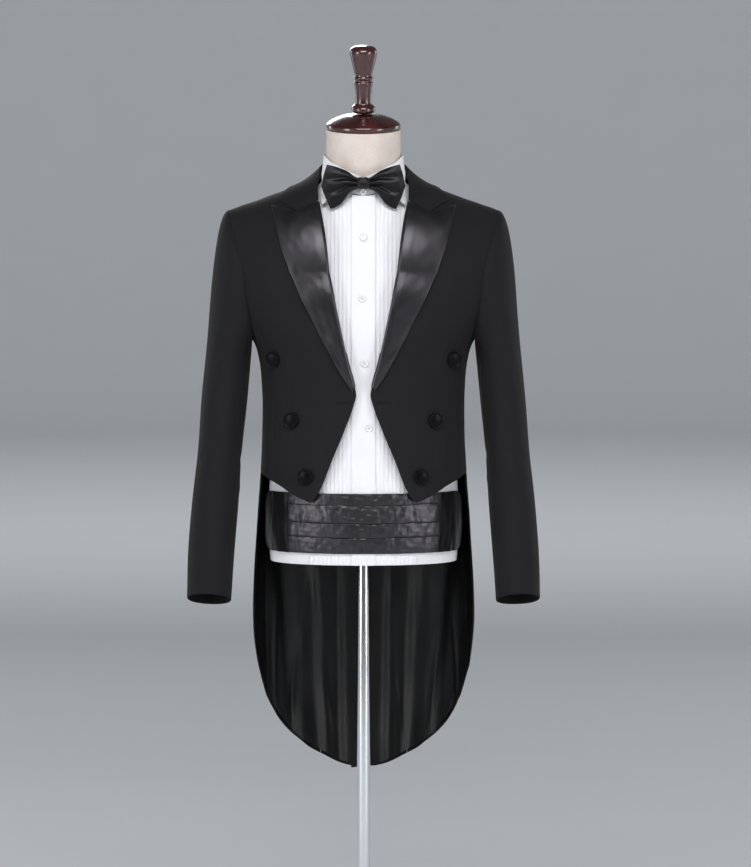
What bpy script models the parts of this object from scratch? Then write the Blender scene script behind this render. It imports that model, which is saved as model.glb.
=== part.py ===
"""An evening tailcoat with shirt, cummerbund and bow tie on a limbless dress form.

Metres, +Z up. The front faces -Y and the origin is under the middle of the round base.
Outlines are written as (distance from the middle, height) pairs seen from the front or the back.
"""

import math

import bmesh
import bpy
import numpy as np
from mathutils import Matrix, Vector

# Walls and gaps
COAT_WALL = 0.0016
SATIN_WALL = 0.0013
LINING_WALL = 0.0010
SHIRT_WALL = 0.0010
SEAM_GAP = 0.0004
SEAT_GAP = 0.0003

# Coat surface: heights where its shoulders and its tails begin
CHEST = 1.280
SHOULDER_TRAVEL = 0.130
WAIST_SEAM = 0.957
COAT_ROUNDNESS = 2.4
SHOULDER_LINE_Y = 0.008
SHOULDER_TIP = (0.2145, 1.376)
SHOULDER_SLOPE = 0.355
NECK_POINT_X = 0.078
BACK_NECK_RISE = 0.60

# Coat sections: height, half width, depth to the front, depth to the back
COAT_SECTIONS = (
    (0.455, 0.170, 0.110, 0.138),
    (0.600, 0.178, 0.112, 0.144),
    (0.750, 0.178, 0.114, 0.138),
    (0.880, 0.1705, 0.118, 0.125),
    (0.957, 0.1650, 0.124, 0.113),
    (1.030, 0.1624, 0.119, 0.106),
    (1.090, 0.1626, 0.121, 0.109),
    (1.136, 0.1665, 0.126, 0.114),
    (1.160, 0.1730, 0.128, 0.117),
    (1.180, 0.1840, 0.129, 0.119),
    (1.205, 0.1970, 0.129, 0.120),
    (1.245, 0.2150, 0.126, 0.118),
    (1.280, 0.2260, 0.121, 0.113),
)

# Front edge below the closing point, from the hem's point up
CUTAWAY_EDGE = (
    (0.0836, 0.914),
    (0.0765, 0.921),
    (0.0686, 0.935),
    (0.0489, 0.984),
    (0.0291, 1.031),
    (0.0153, 1.069),
    (0.0110, 1.086),
)
# Roll line of the lapel, from the closing point up to the gorge
ROLL_LINE = (
    (0.0134, 1.099),
    (0.0270, 1.146),
    (0.0403, 1.209),
    (0.0506, 1.264),
    (0.0597, 1.329),
    (0.0712, 1.392),
)
FRONT_PAST_ROLL = 0.0035
LAPEL_EDGE = (
    (0.0170, 1.0915),
    (0.0427, 1.132),
    (0.0653, 1.1745),
    (0.0891, 1.2225),
    (0.1169, 1.283),
    (0.1298, 1.3206),
    (0.1404, 1.361),
    (0.1456, 1.383),
)
GORGE_END = (0.1050, 1.373)
COLLAR_CORNER = (0.1350, 1.390)
COLLAR_SHOULDER_X = 0.116
COLLAR_BACK_TRAVEL = 0.50
FRONT_HEM = ((0.0836, 0.914), (0.1146, 0.928), (0.1283, 0.937), (0.1430, 0.945))
SIDE_HEM = ((0.1430, 0.945), (0.1570, 0.952), (0.1641, 0.957))
SIDE_FRONT_SEAM = (
    (0.1430, 0.945),
    (0.1430, 1.030),
    (0.1430, 1.120),
    (0.1560, 1.165),
    (0.1770, 1.188),
)
FRONT_ARMHOLE = (
    (0.1770, 1.188),
    (0.1825, 1.220),
    (0.1860, 1.2406),
    (0.1900, 1.2756),
    (0.1990, 1.3085),
    (0.2075, 1.343),
    (0.2130, 1.367),
)
BACK_ARMHOLE = (
    (0.1860, 1.235),
    (0.1890, 1.270),
    (0.1960, 1.3085),
    (0.2050, 1.343),
    (0.2120, 1.367),
)
ARMHOLE_BOTTOM_HEIGHT = 1.1712
SIDE_BACK_SEAM = (
    (0.0480, 0.957),
    (0.0520, 1.030),
    (0.0740, 1.110),
    (0.1180, 1.175),
    (0.1610, 1.214),
    (0.1860, 1.235),
)
TAIL_SEAM = (
    (0.0480, 0.957),
    (0.0580, 0.860),
    (0.0660, 0.700),
    (0.0700, 0.560),
    (0.0700, 0.4865),
)
# Edge of a tail: angle from the middle of the front in degrees, height
TAIL_EDGE = (
    (84.0, 0.957),
    (87.0, 0.860),
    (91.0, 0.760),
    (97.0, 0.695),
    (103.7, 0.650),
    (112.0, 0.615),
    (120.0, 0.581),
)
TAIL_HEM = (
    (120.0, 0.581),
    (130.6, 0.5465),
    (144.7, 0.513),
    (153.9, 0.496),
    (159.4, 0.4865),
    (170.0, 0.474),
    (180.0, 0.470),
)
SEAM_AT_HEM = 159.4
VENT_TOP = 0.940
VENT_LAP = 0.022
VENT_TURN = 0.003
VENT_LIFT = 0.0031
VENT_RAMP = 0.020
LINING_GAP = 0.0006
LINING_INSET = 0.004

# Hanging folds of a tail: distance from the middle at the top and at the hem, width, height of the wave
TAIL_FOLDS = (
    (0.026, 0.022, 0.012, -0.0030),
    (0.052, 0.044, 0.014, 0.0090),
    (0.078, 0.066, 0.012, -0.0050),
    (0.104, 0.080, 0.015, 0.0080),
    (0.134, 0.100, 0.013, -0.0050),
    (0.158, 0.130, 0.012, 0.0045),
)
FOLD_START = 0.935
FOLD_FULL = 0.700

# Sleeve below the armpit: height, middle x, middle y, half width, half depth
SLEEVE_SECTIONS = (
    (1.140, 0.2165, 0.000, 0.0355, 0.0740),
    (1.070, 0.2240, -0.002, 0.0370, 0.0690),
    (0.990, 0.2300, -0.008, 0.0352, 0.0630),
    (0.910, 0.2370, -0.022, 0.0370, 0.0580),
    (0.830, 0.2430, -0.041, 0.0368, 0.0535),
    (0.757, 0.2462, -0.060, 0.0352, 0.0500),
)
ARMHOLE_GAP = 0.0013
CAP_REACH = 0.014
CAP_HANG = 0.45
CAP_SWING = 0.10

# Dress form sections: height, half width, depth to the front, depth to the back, roundness
FORM_SECTIONS = (
    (0.818, 0.1480, 0.114, 0.108, 2.15),
    (0.860, 0.1515, 0.117, 0.112, 2.15),
    (0.930, 0.1495, 0.111, 0.103, 2.15),
    (1.030, 0.1440, 0.105, 0.090, 2.15),
    (1.100, 0.1490, 0.110, 0.096, 2.15),
    (1.170, 0.1590, 0.115, 0.103, 2.15),
    (1.230, 0.1720, 0.113, 0.104, 2.15),
    (1.290, 0.1840, 0.104, 0.098, 2.15),
    (1.330, 0.1850, 0.092, 0.090, 2.10),
    (1.355, 0.1730, 0.083, 0.083, 2.00),
    (1.375, 0.1450, 0.075, 0.076, 1.85),
    (1.392, 0.1080, 0.0676, 0.0689, 1.70),
    (1.408, 0.0780, 0.0620, 0.0625, 1.80),
    (1.424, 0.0640, 0.0602, 0.0602, 1.95),
    (1.440, 0.0601, 0.0601, 0.0601, 2.00),
    (1.475, 0.0600, 0.0600, 0.0600, 2.00),
)
FORM_EASE = 0.0075
NECK_TOP = 1.505
NECK_RADIUS = 0.0596
NECK_TILT = math.radians(8)
NECK_TOP_Y = -0.0085

FORM_RING_HEIGHTS = (
    0.818, 0.860, 0.910, 0.970, 1.030, 1.090, 1.150, 1.210, 1.265, 1.310,
    1.338, 1.358, 1.374, 1.388, 1.400, 1.412, 1.424, 1.436, 1.452,
)
FORM_SEGMENTS = 26

# Shirt
SHIRT_HEM = 0.8155
SHIRT_OFF = 0.0006
PLACKET_HALF = 0.0190
PLEAT_WIDTH = 0.0064
PLEAT_COUNT = 10
PLEAT_HEIGHT = 0.0010
PLACKET_LIFT = 0.0009
NECK_SEAM = 0.0056
SHIRT_SEAM_HEIGHT = 1.165
SHIRT_ARMHOLE = ((1.165, 1.0), (1.200, 0.90), (1.260, 0.82), (1.320, 0.84), (1.360, 0.93))
SHIRT_BUTTONS = ((0.0, 1.333), (-0.002, 1.238), (0.002, 1.136), (0.009, 1.033))
COLLAR_BUTTON_HEIGHT = 1.4055
SHIRT_BUTTON_RADIUS = 0.0057

# Cummerbund: its edges and the top edges of its folds
CUMMERBUND_TOP = 0.9290
CUMMERBUND_BOTTOM = 0.8345
CUMMERBUND_FOLDS = (0.911, 0.883, 0.861)
CUMMERBUND_OFF = 0.0042
CUMMERBUND_STEP = 0.0018
CUMMERBUND_SEAM_X = 0.1145
CUMMERBUND_STRAP_HEIGHT = 0.045
CUMMERBUND_EXTRA = 0.0006
CUMMERBUND_SIDE_TURN = math.radians(70)
CUMMERBUND_SIDE_END = math.radians(112)

# Neckwear: angle from the middle of the front in degrees, height of the shirt collar's fold
COLLAR_RING = (
    (0.0, 1.4275),
    (30.0, 1.4330),
    (60.0, 1.4480),
    (90.0, 1.4600),
    (135.0, 1.4660),
    (180.0, 1.4680),
)
STAND_RADIUS = 0.0610
STAND_FOOT = 0.0012
NECK_MIDDLE_Y = -0.006
LEAF_TOP_RADIUS = 0.0626
LEAF_SPREAD = 0.0030
LEAF_START = math.radians(3)
# Lower edge of the collar leaf: share of the way round, x, y, height
LEAF_EDGE = (
    (0.00, 0.0655, -0.0725, 1.3860),
    (0.12, 0.0680, -0.0600, 1.3960),
    (0.30, 0.0655, -0.0330, 1.4225),
    (0.50, 0.0650, -0.0020, 1.4345),
    (0.75, 0.0470, 0.0440, 1.4380),
    (1.00, 0.0000, 0.0600, 1.4390),
)
TIE_MIDDLE = 1.4195
TIE_FRONT_Y = -0.0793
# Half of the bow: distance from the middle, lower edge, upper edge (from the bow's middle), half thickness
BOW_SECTIONS = (
    (0.0124, -0.0110, 0.0090, 0.0040),
    (0.0210, -0.0165, 0.0140, 0.0058),
    (0.0340, -0.0260, 0.0215, 0.0062),
    (0.0480, -0.0355, 0.0265, 0.0054),
    (0.0590, -0.0355, 0.0290, 0.0042),
    (0.0665, -0.0160, 0.0170, 0.0024),
)
BOW_LEAN = 0.0025
BOW_EDGE = 0.0012
BOW_FOLD_AT = 0.42
BOW_FOLD_WIDTH = 0.16
BOW_FOLD_DEPTH = 0.55
KNOT_HALF = (0.0121, 0.0105, 0.0120)

# Coat collar fold, front to back: share of the way round, distance inside the neckline, rise above it
COLLAR_FOLD = (
    (0.00, 0.0000, 0.0005),
    (0.12, 0.0008, 0.0030),
    (0.25, 0.0035, 0.0060),
    (0.38, 0.0064, 0.0115),
    (0.50, 0.0085, 0.0190),
    (0.68, 0.0080, 0.0310),
    (0.84, 0.0060, 0.0385),
    (1.00, 0.0045, 0.0410),
)
COLLAR_SHOULDER_AT = 0.50
COLLAR_LIFT = 0.0031
COLLAR_SPREAD = 2.4
COLLAR_STAND_START = 0.32
COLLAR_STAND_FOOT = (0.0045, 0.0025)
COLLAR_STAND_TOP = (0.0019, -0.0011)

# Covered coat buttons: distance from the middle, height
COAT_BUTTONS = ((0.1412, 1.142), (0.1130, 1.045), (0.0908, 0.9565))
COAT_BUTTON_RADIUS = 0.0125
COAT_BUTTON_HEIGHT = 0.0065
BUTTON_SEAT_SHARE = 1.3

# Stand
POLE_RADIUS = 0.0105
POLE_FOOT = 0.0155
BASE_RADIUS = 0.190
FORM_BOTTOM = FORM_SECTIONS[0][0]
CAP_RADIUS = 0.0595

COLOURS = {
    "wool": ((0.012, 0.012, 0.014), 0.85, 0.0),
    "satin": ((0.020, 0.020, 0.024), 0.32, 0.0),
    "lining": ((0.050, 0.052, 0.056), 0.40, 0.0),
    "cotton": ((0.86, 0.87, 0.88), 0.75, 0.0),
    "pearl": ((0.90, 0.90, 0.90), 0.22, 0.0),
    "linen": ((0.80, 0.74, 0.62), 0.85, 0.0),
    "wood": ((0.10, 0.012, 0.010), 0.18, 0.0),
    "chrome": ((0.80, 0.81, 0.83), 0.10, 1.0),
    "base_metal": ((0.05, 0.05, 0.055), 0.35, 0.6),
}


# General helpers

def smooth(table, at):
    """Values at the given keys on a smooth curve through a table whose first column is the key."""
    rows = np.asarray(table, float)
    if rows[0, 0] > rows[-1, 0]:
        rows = rows[::-1]
    keys, values = rows[:, 0], rows[:, 1:]
    slopes = np.gradient(values, keys, axis=0)
    at = np.clip(np.asarray(at, float), keys[0], keys[-1])
    low = np.clip(np.searchsorted(keys, at, side="right") - 1, 0, len(keys) - 2)
    span = (keys[low + 1] - keys[low])[..., None]
    t = (at - keys[low])[..., None] / span
    start = (2 * t**3 - 3 * t**2 + 1) * values[low] + (t**3 - 2 * t**2 + t) * span * slopes[low]
    end = (3 * t**2 - 2 * t**3) * values[low + 1] + (t**3 - t**2) * span * slopes[low + 1]
    return start + end


def ease(value, low, high):
    """0 at low, 1 at high, with soft ends."""
    t = np.clip((value - low) / (high - low), 0.0, 1.0)
    return t * t * (3 - 2 * t)


def resample(points, count):
    """count + 1 evenly spaced points on a smooth curve through the given points."""
    points = np.asarray(points, float)
    steps = np.linalg.norm(np.diff(points, axis=0), axis=1)
    along = np.concatenate([[0.0], np.cumsum(steps)])
    table = np.column_stack([along / along[-1], points])
    return smooth(table, np.linspace(0.0, 1.0, count + 1))


def unit(vectors):
    return vectors / np.maximum(np.linalg.norm(vectors, axis=-1, keepdims=True), 1e-12)


def lifted(surface, first, second, lift):
    """Points of a two-parameter surface moved along its normal."""
    step = 1e-4
    middle = surface(first, second)
    across = surface(first + step, second) - surface(first - step, second)
    along = surface(first, second + step) - surface(first, second - step)
    return middle + unit(np.cross(across, along)) * np.asarray(lift)[..., None]


def grid_lifted(grid, lift):
    """A grid of points moved along the normals of the grid itself."""
    normal = np.cross(np.gradient(grid, axis=1), np.gradient(grid, axis=0))
    return grid + unit(normal) * np.asarray(lift)[..., None]


def across_panel(bottom, top, left, right):
    """Domain grid between four edges; left and right run up, bottom and top run across."""
    s = np.linspace(0.0, 1.0, len(left))[:, None]
    parts = []
    for edge in (bottom, top):
        parts.append((edge[:, 0] - edge[0, 0]) / (edge[-1, 0] - edge[0, 0]))
    part = (1 - s) * parts[0] + s * parts[1]
    u = left[:, :1] + (right[:, :1] - left[:, :1]) * part
    h = left[:, 1:] + (right[:, 1:] - left[:, 1:]) * part
    for edge, share, weight in ((bottom, parts[0], 1 - s), (top, parts[1], s)):
        straight = edge[0, 1] + (edge[-1, 1] - edge[0, 1]) * share
        h = h + weight * (edge[:, 1] - straight)
    return np.stack([u, h], axis=-1)


def drawn_in(grid, edges="bottom top left right", gap=SEAM_GAP):
    """The grid with the named edges moved half a seam gap towards its inside."""
    out = grid.copy()
    sides = {"bottom": (0, 1), "top": (-1, -2)}
    for name, (edge, near) in sides.items():
        if name in edges:
            out[edge] += unit(grid[near] - grid[edge]) * gap / 2
    sides = {"left": (0, 1), "right": (-1, -2)}
    for name, (edge, near) in sides.items():
        if name in edges:
            out[:, edge] += unit(grid[:, near] - grid[:, edge]) * gap / 2
    return out


# Making objects

def material(name):
    found = bpy.data.materials.get(name)
    if found:
        return found
    colour, roughness, metallic = COLOURS[name]
    made = bpy.data.materials.new(name)
    made.use_nodes = True
    shader = made.node_tree.nodes["Principled BSDF"]
    shader.inputs["Base Color"].default_value = (*colour, 1.0)
    shader.inputs["Roughness"].default_value = roughness
    shader.inputs["Metallic"].default_value = metallic
    return made


def add_object(name, mesh_maker, material_name):
    """A new object from a bmesh, with its faces turned outward."""
    bmesh.ops.recalc_face_normals(mesh_maker, faces=mesh_maker.faces)
    mesh = bpy.data.meshes.new(name)
    mesh_maker.to_mesh(mesh)
    mesh_maker.free()
    mesh.shade_smooth()
    mesh.set_sharp_from_angle(angle=math.radians(40))
    mesh.materials.append(material(material_name))
    bpy.context.scene.collection.objects.link(bpy.data.objects.new(name, mesh))


def add_shell(name, outer, inner, material_name, side=1):
    """A thin closed wall between two grids of the same size."""
    maker = bmesh.new()
    mirror = np.array([side, 1, 1])
    layers = []
    for grid in (outer, inner):
        layers.append([[maker.verts.new(point * mirror) for point in row] for row in grid])
    rows, columns = outer.shape[:2]
    for layer in layers:
        for i in range(rows - 1):
            for j in range(columns - 1):
                maker.faces.new((layer[i][j], layer[i][j + 1], layer[i + 1][j + 1], layer[i + 1][j]))
    front, back = layers
    for i in (0, rows - 1):
        for j in range(columns - 1):
            maker.faces.new((front[i][j], front[i][j + 1], back[i][j + 1], back[i][j]))
    for j in (0, columns - 1):
        for i in range(rows - 1):
            maker.faces.new((front[i][j], front[i + 1][j], back[i + 1][j], back[i][j]))
    add_object(name, maker, material_name)


def add_turned(name, profile, segments, material_name, place=None):
    """A body turned about Z from (radius, height) pairs that start and end on the axis."""
    maker = bmesh.new()
    rings = []
    for radius, height in profile:
        if radius < 1e-6:
            rings.append([maker.verts.new((0, 0, height))])
            continue
        ring = []
        for k in range(segments):
            turn = 2 * math.pi * k / segments
            ring.append(maker.verts.new((radius * math.cos(turn), radius * math.sin(turn), height)))
        rings.append(ring)
    for low, high in zip(rings, rings[1:]):
        for k in range(segments):
            after = (k + 1) % segments
            corners = [low[k % len(low)], low[after % len(low)]]
            corners.extend([high[after % len(high)], high[k % len(high)]])
            maker.faces.new(list(dict.fromkeys(corners)))
    if place is not None:
        bmesh.ops.transform(maker, matrix=place, verts=maker.verts)
    add_object(name, maker, material_name)


# Coat surface, from u = 0 at the middle of the front to pi at the middle of the back

def ridge_height(x):
    """Height of the shoulder line at a distance from the middle."""
    return SHOULDER_TIP[1] + (SHOULDER_TIP[0] - np.abs(x)) * SHOULDER_SLOPE


def tail_wave(x, height):
    """How far the hanging folds move a tail outward."""
    drop = np.clip((FOLD_START - height) / (FOLD_START - TAIL_HEM[-1][1]), 0.0, 1.0)
    wave = np.zeros(np.shape(x))
    for top, foot, width, depth in TAIL_FOLDS:
        middle = top + (foot - top) * drop
        wave = wave + depth * np.exp(-(((np.abs(x) - middle) / width) ** 2))
    return wave * ease(-height, -FOLD_START, -FOLD_FULL)


def coat_surface(u, h):
    """Outer face of the coat; above the chest h counts the travel over the shoulder."""
    u, h = np.broadcast_arrays(np.asarray(u, float), np.asarray(h, float))
    section = smooth(COAT_SECTIONS, np.minimum(h, CHEST))
    power = 2 / COAT_ROUNDNESS
    sine, cosine = np.sin(u), np.cos(u)
    x = section[..., 0] * np.sign(sine) * np.abs(sine) ** power
    depth = np.where(cosine > 0, section[..., 1], section[..., 2])
    y = -depth * np.sign(cosine) * np.abs(cosine) ** power
    over = np.clip((h - CHEST) / SHOULDER_TRAVEL, 0.0, 1.0) * math.pi / 2
    y = SHOULDER_LINE_Y * (1 - np.cos(over)) + y * np.cos(over)
    z = np.minimum(h, CHEST) + (ridge_height(x) - CHEST) * np.sin(over)
    away = unit(np.stack([x, y, np.zeros_like(x)], axis=-1))
    wave = tail_wave(x, h) * (cosine < 0.15)
    return np.stack([x, y, z], axis=-1) + away * wave[..., None]


def coat_domain(x, z, facing):
    """(u, h) of the coat's point seen at (x, z) from the front (facing 1) or from the back (facing -1)."""
    half = smooth(COAT_SECTIONS, min(z, CHEST))[0]
    u = math.asin(min(1.0, x / half) ** (COAT_ROUNDNESS / 2))
    h = z
    if z > CHEST:
        rise = min(1.0, (z - CHEST) / (float(ridge_height(x)) - CHEST))
        h = CHEST + SHOULDER_TRAVEL * math.asin(rise) / (math.pi / 2)
    return (u if facing > 0 else math.pi - u, h)


def outline(points, facing, count):
    """Evenly spaced domain points along an outline given as (x, height) pairs."""
    return resample([coat_domain(x, z, facing) for x, z in points], count)


def angle_outline(points, count):
    return resample([(math.radians(angle), height) for angle, height in points], count)


TOP = CHEST + SHOULDER_TRAVEL
TIP_FRONT = coat_domain(SHOULDER_TIP[0], 9.0, 1)
TIP_BACK = coat_domain(SHOULDER_TIP[0], 9.0, -1)
NECK_FRONT = coat_domain(NECK_POINT_X, 9.0, 1)


def front_armhole(count):
    points = [coat_domain(x, z, 1) for x, z in FRONT_ARMHOLE]
    return resample([*points, TIP_FRONT], count)


def back_armhole(count):
    points = [coat_domain(x, z, -1) for x, z in BACK_ARMHOLE]
    return resample([*points, TIP_BACK], count)


def underarm(front_count, back_count):
    """Lower armhole from the side-front seam round to the side-back seam."""
    start = coat_domain(*FRONT_ARMHOLE[0], 1)
    end = coat_domain(*BACK_ARMHOLE[0], -1)
    bottom = (math.radians(90), ARMHOLE_BOTTOM_HEIGHT)
    first = [start, (math.radians(76), 1.1765), bottom]
    second = [bottom, (math.radians(101), 1.1770), (math.radians(111), 1.200), end]
    return np.concatenate([resample(first, front_count), resample(second, back_count)[1:]])


def back_neckline(x_at_shoulder, back_height, count):
    """Domain curve round the back of the neck, from the shoulder line to the middle of the back."""
    turn = np.linspace(0.0, math.pi / 2, count + 1)
    x = x_at_shoulder * np.cos(turn)
    half = COAT_SECTIONS[-1][1]
    u = math.pi - np.arcsin((x / half) ** (COAT_ROUNDNESS / 2))
    h = TOP - (TOP - back_height) * np.sin(turn)
    return np.stack([u, h], axis=-1)


BACK_NECK = CHEST + SHOULDER_TRAVEL * BACK_NECK_RISE

# Rows and columns that neighbouring panels share
SEAM_ROWS = 8
ARMHOLE_ROWS = 5
BACK_ARMHOLE_ROWS = 5
UNDERARM_FRONT = 2
UNDERARM_BACK = 5
TAIL_ROWS = 11
SKIRT_COLUMNS = 10
BACK_COLUMNS = 5
NECK_COLUMNS = 3


def add_panel(name, domain, side):
    """A coat panel whose outer face is the coat surface."""
    u, h = domain[..., 0], domain[..., 1]
    outer = drawn_in(lifted(coat_surface, u, h, np.zeros(u.shape)))
    inner = drawn_in(lifted(coat_surface, u, h, np.full(u.shape, -COAT_WALL)))
    add_shell(name, outer, inner, "wool", side)


def add_coat_fronts(side, hand):
    right = np.concatenate([outline(SIDE_FRONT_SEAM, 1, SEAM_ROWS), front_armhole(ARMHOLE_ROWS)[1:]])
    rows = len(right) - 1
    edge = [coat_domain(x, z, 1) for x, z in CUTAWAY_EDGE]
    roll = [coat_domain(x + FRONT_PAST_ROLL, z, 1) for x, z in ROLL_LINE]
    left = resample([*edge, *roll, NECK_FRONT], rows)
    columns = 7
    bottom = outline(FRONT_HEM, 1, columns)
    across = np.linspace(NECK_FRONT[0], TIP_FRONT[0], columns + 1)
    top = np.stack([across, np.full(columns + 1, TOP)], axis=-1)
    add_panel(f"coat_front_{hand}", across_panel(bottom, top, left, right), side)


def waist_seam(count):
    """Domain points along the waist seam from the hem's end to the side-back seam."""
    start = (math.radians(TAIL_EDGE[0][0]), WAIST_SEAM)
    return resample([start, coat_domain(TAIL_SEAM[0][0], WAIST_SEAM, -1)], count)


def add_coat_sides(side, hand):
    left = outline(SIDE_FRONT_SEAM, 1, SEAM_ROWS)
    right = outline(SIDE_BACK_SEAM, -1, SEAM_ROWS)
    hem = [coat_domain(x, z, 1) for x, z in SIDE_HEM[:2]]
    hem.append(tuple(waist_seam(1)[0]))
    bottom = np.concatenate([resample(hem, UNDERARM_FRONT), waist_seam(UNDERARM_BACK)[1:]])
    top = underarm(UNDERARM_FRONT, UNDERARM_BACK)
    add_panel(f"coat_side_{hand}", across_panel(bottom, top, left, right), side)


def back_domain():
    """Back panel from the tail's hem to the shoulder, from the middle of the back out."""
    tail = outline(TAIL_SEAM, -1, TAIL_ROWS)[::-1]
    seam = outline(SIDE_BACK_SEAM, -1, SEAM_ROWS)
    right = np.concatenate([tail, seam[1:], back_armhole(BACK_ARMHOLE_ROWS)[1:]])
    rows = len(right) - 1
    hem = angle_outline([row for row in TAIL_HEM if row[0] >= SEAM_AT_HEM], BACK_COLUMNS)
    heights = np.interp(np.arange(rows + 1), [0, TAIL_ROWS, rows], [TAIL_HEM[-1][1], WAIST_SEAM, BACK_NECK])
    left = np.stack([np.full(rows + 1, math.pi), heights], axis=-1)
    neck = back_neckline(NECK_POINT_X, BACK_NECK, NECK_COLUMNS)[::-1]
    shoulder = resample([neck[-1], TIP_BACK], BACK_COLUMNS - NECK_COLUMNS)
    top = np.concatenate([neck, shoulder[1:]])
    return across_panel(hem[::-1], top, left, right)


def skirt_domain():
    left = outline(TAIL_SEAM, -1, TAIL_ROWS)[::-1]
    right = angle_outline(TAIL_EDGE, TAIL_ROWS)[::-1]
    hem = angle_outline([row for row in TAIL_HEM if row[0] <= SEAM_AT_HEM], SKIRT_COLUMNS)
    return across_panel(hem[::-1], waist_seam(SKIRT_COLUMNS)[::-1], left, right)


def add_coat_backs(side, hand):
    """Below the vent's top the wearer's left laps over the right."""
    domain = back_domain()
    lift = np.zeros(domain.shape[:2])
    if side > 0:
        height = domain[:, 0, 1]
        lap = 1 - ease(height, VENT_TOP - VENT_RAMP, VENT_TOP)
        rise = 1 - ease(height, WAIST_SEAM + 0.001, WAIST_SEAM + VENT_RAMP)
        for column, x in ((0, -VENT_LAP), (1, VENT_TURN)):
            share = abs(x) / COAT_SECTIONS[2][1]
            past = math.pi - math.copysign(math.asin(share ** (COAT_ROUNDNESS / 2)), x)
            domain[:, column, 0] += (past - domain[:, column, 0]) * lap
            lift[:, column] = VENT_LIFT * rise
    grids = []
    for wall in (0.0, COAT_WALL):
        grids.append(drawn_in(lifted(coat_surface, domain[..., 0], domain[..., 1], lift - wall)))
    add_shell(f"coat_back_{hand}", grids[0], grids[1], "wool", side)


def add_skirts(side, hand):
    add_panel(f"coat_skirt_{hand}", skirt_domain(), side)


def add_linings(side, hand):
    """Satin inside of a tail, made from the points of its two panels."""
    tail = back_domain()[: TAIL_ROWS + 1]
    domain = np.concatenate([tail, skirt_domain()[:, 1:]], axis=1)
    depth = -COAT_WALL - LINING_GAP
    grids = []
    for wall in (0.0, LINING_WALL):
        grid = lifted(coat_surface, domain[..., 0], domain[..., 1], np.full(domain.shape[:2], depth - wall))
        grid = drawn_in(grid, "bottom right", 2 * LINING_INSET)
        grids.append(drawn_in(grid, "left top"))
    add_shell(f"tail_lining_{hand}", grids[0], grids[1], "lining", side)


# Sleeves: columns run round the armhole from the shoulder tip by the front

def armhole_loop():
    """Points round the armhole and the angle each takes on the sleeve's lower rings."""
    front = front_armhole(ARMHOLE_ROWS)[::-1]
    under = underarm(UNDERARM_FRONT, UNDERARM_BACK)
    back = back_armhole(BACK_ARMHOLE_ROWS)
    domain = np.concatenate([front, under[1:], back[1:-1]])
    points = coat_surface(domain[:, 0], domain[:, 1])
    bottom = len(front) - 1 + UNDERARM_FRONT
    loop = np.concatenate([points, points[:1]])
    along = np.concatenate([[0.0], np.cumsum(np.linalg.norm(np.diff(loop, axis=0), axis=1))])
    turns = np.empty(len(points))
    turns[: bottom + 1] = math.pi * along[: bottom + 1] / along[bottom]
    turns[bottom:] = math.pi + math.pi * (along[bottom:-1] - along[bottom]) / (along[-1] - along[bottom])
    seams = (len(front) - 1, len(front) + len(under) - 2)
    return points, turns, seams


def sleeve_ring(height, turns):
    """One ring of the lower sleeve, square to its middle line."""
    rows = [(-row[0], *row[1:]) for row in SLEEVE_SECTIONS]
    x, y, half_width, half_depth = smooth(rows, -height)
    ahead = smooth(rows, -height + 0.004)[:2] - smooth(rows, -height - 0.004)[:2]
    axis = unit(np.array([ahead[0], ahead[1], -0.008]))
    wide = unit(np.array([1.0, 0.0, 0.0]) - axis * axis[0])
    deep = np.cross(axis, wide)
    deep *= -np.sign(deep[1])
    power = 2 / 2.2
    cosine = np.sign(np.cos(turns)) * np.abs(np.cos(turns)) ** power
    sine = np.sign(np.sin(turns)) * np.abs(np.sin(turns)) ** power
    middle = np.array([x, y, height])
    return middle + np.outer(cosine * half_width, wide) + np.outer(sine * half_depth, deep)


def sleeve_grid(cap_rows, arm_rows):
    points, turns, seams = armhole_loop()
    start = points + np.array([ARMHOLE_GAP, 0.0, 0.0])
    bicep = sleeve_ring(SLEEVE_SECTIONS[0][0], turns)
    length = np.linalg.norm(bicep - start, axis=1)[:, None]
    facing = np.stack([(1 + np.cos(turns)) / 2, -0.35 * np.sin(turns), -(1 - np.cos(turns)) / 2], axis=-1)
    leave = start + unit(facing) * np.minimum(CAP_REACH, 0.3 * length)
    arrive = bicep + unit(np.array([-CAP_SWING, 0.0, 1.0])) * CAP_HANG * length
    rows = []
    for t in np.linspace(0.0, 1.0, cap_rows + 1):
        early = (1 - t) ** 3 * start + 3 * t * (1 - t) ** 2 * leave
        rows.append(early + 3 * t**2 * (1 - t) * arrive + t**3 * bicep)
    heights = np.linspace(SLEEVE_SECTIONS[0][0], SLEEVE_SECTIONS[-1][0], arm_rows + 1)[1:]
    rows.extend(sleeve_ring(height, turns) for height in heights)
    return np.array(rows), seams


def add_sleeves(side, hand):
    grid, seams = sleeve_grid(5, 6)
    ring = np.concatenate([grid[:, -1:], grid, grid[:, :1]], axis=1)
    inner = grid_lifted(ring, np.full(ring.shape[:2], -COAT_WALL))[:, 1:-1]
    first, second = seams
    count = grid.shape[1]
    under = list(range(first, second + 1))
    upper = [k % count for k in range(second, first + count + 1)]
    for name, columns in (("sleeve_under", under), ("sleeve_top", upper)):
        pieces = [drawn_in(layer[:, columns], "left right") for layer in (grid, inner)]
        add_shell(f"{name}_{hand}", pieces[0], pieces[1], "wool", side)


# Lapels and collar lie on the coat's own surface

LAPEL_PROFILE = (
    (0.00, -0.0048, -0.0010),
    (0.04, -0.0058, 0.0024),
    (0.12, -0.0034, 0.0060),
    (0.28, 0.0, 0.0050),
    (0.46, 0.0, 0.0046),
    (0.64, 0.0, 0.0043),
    (0.82, 0.0, 0.0041),
    (1.00, 0.0, 0.0039),
)


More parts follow.
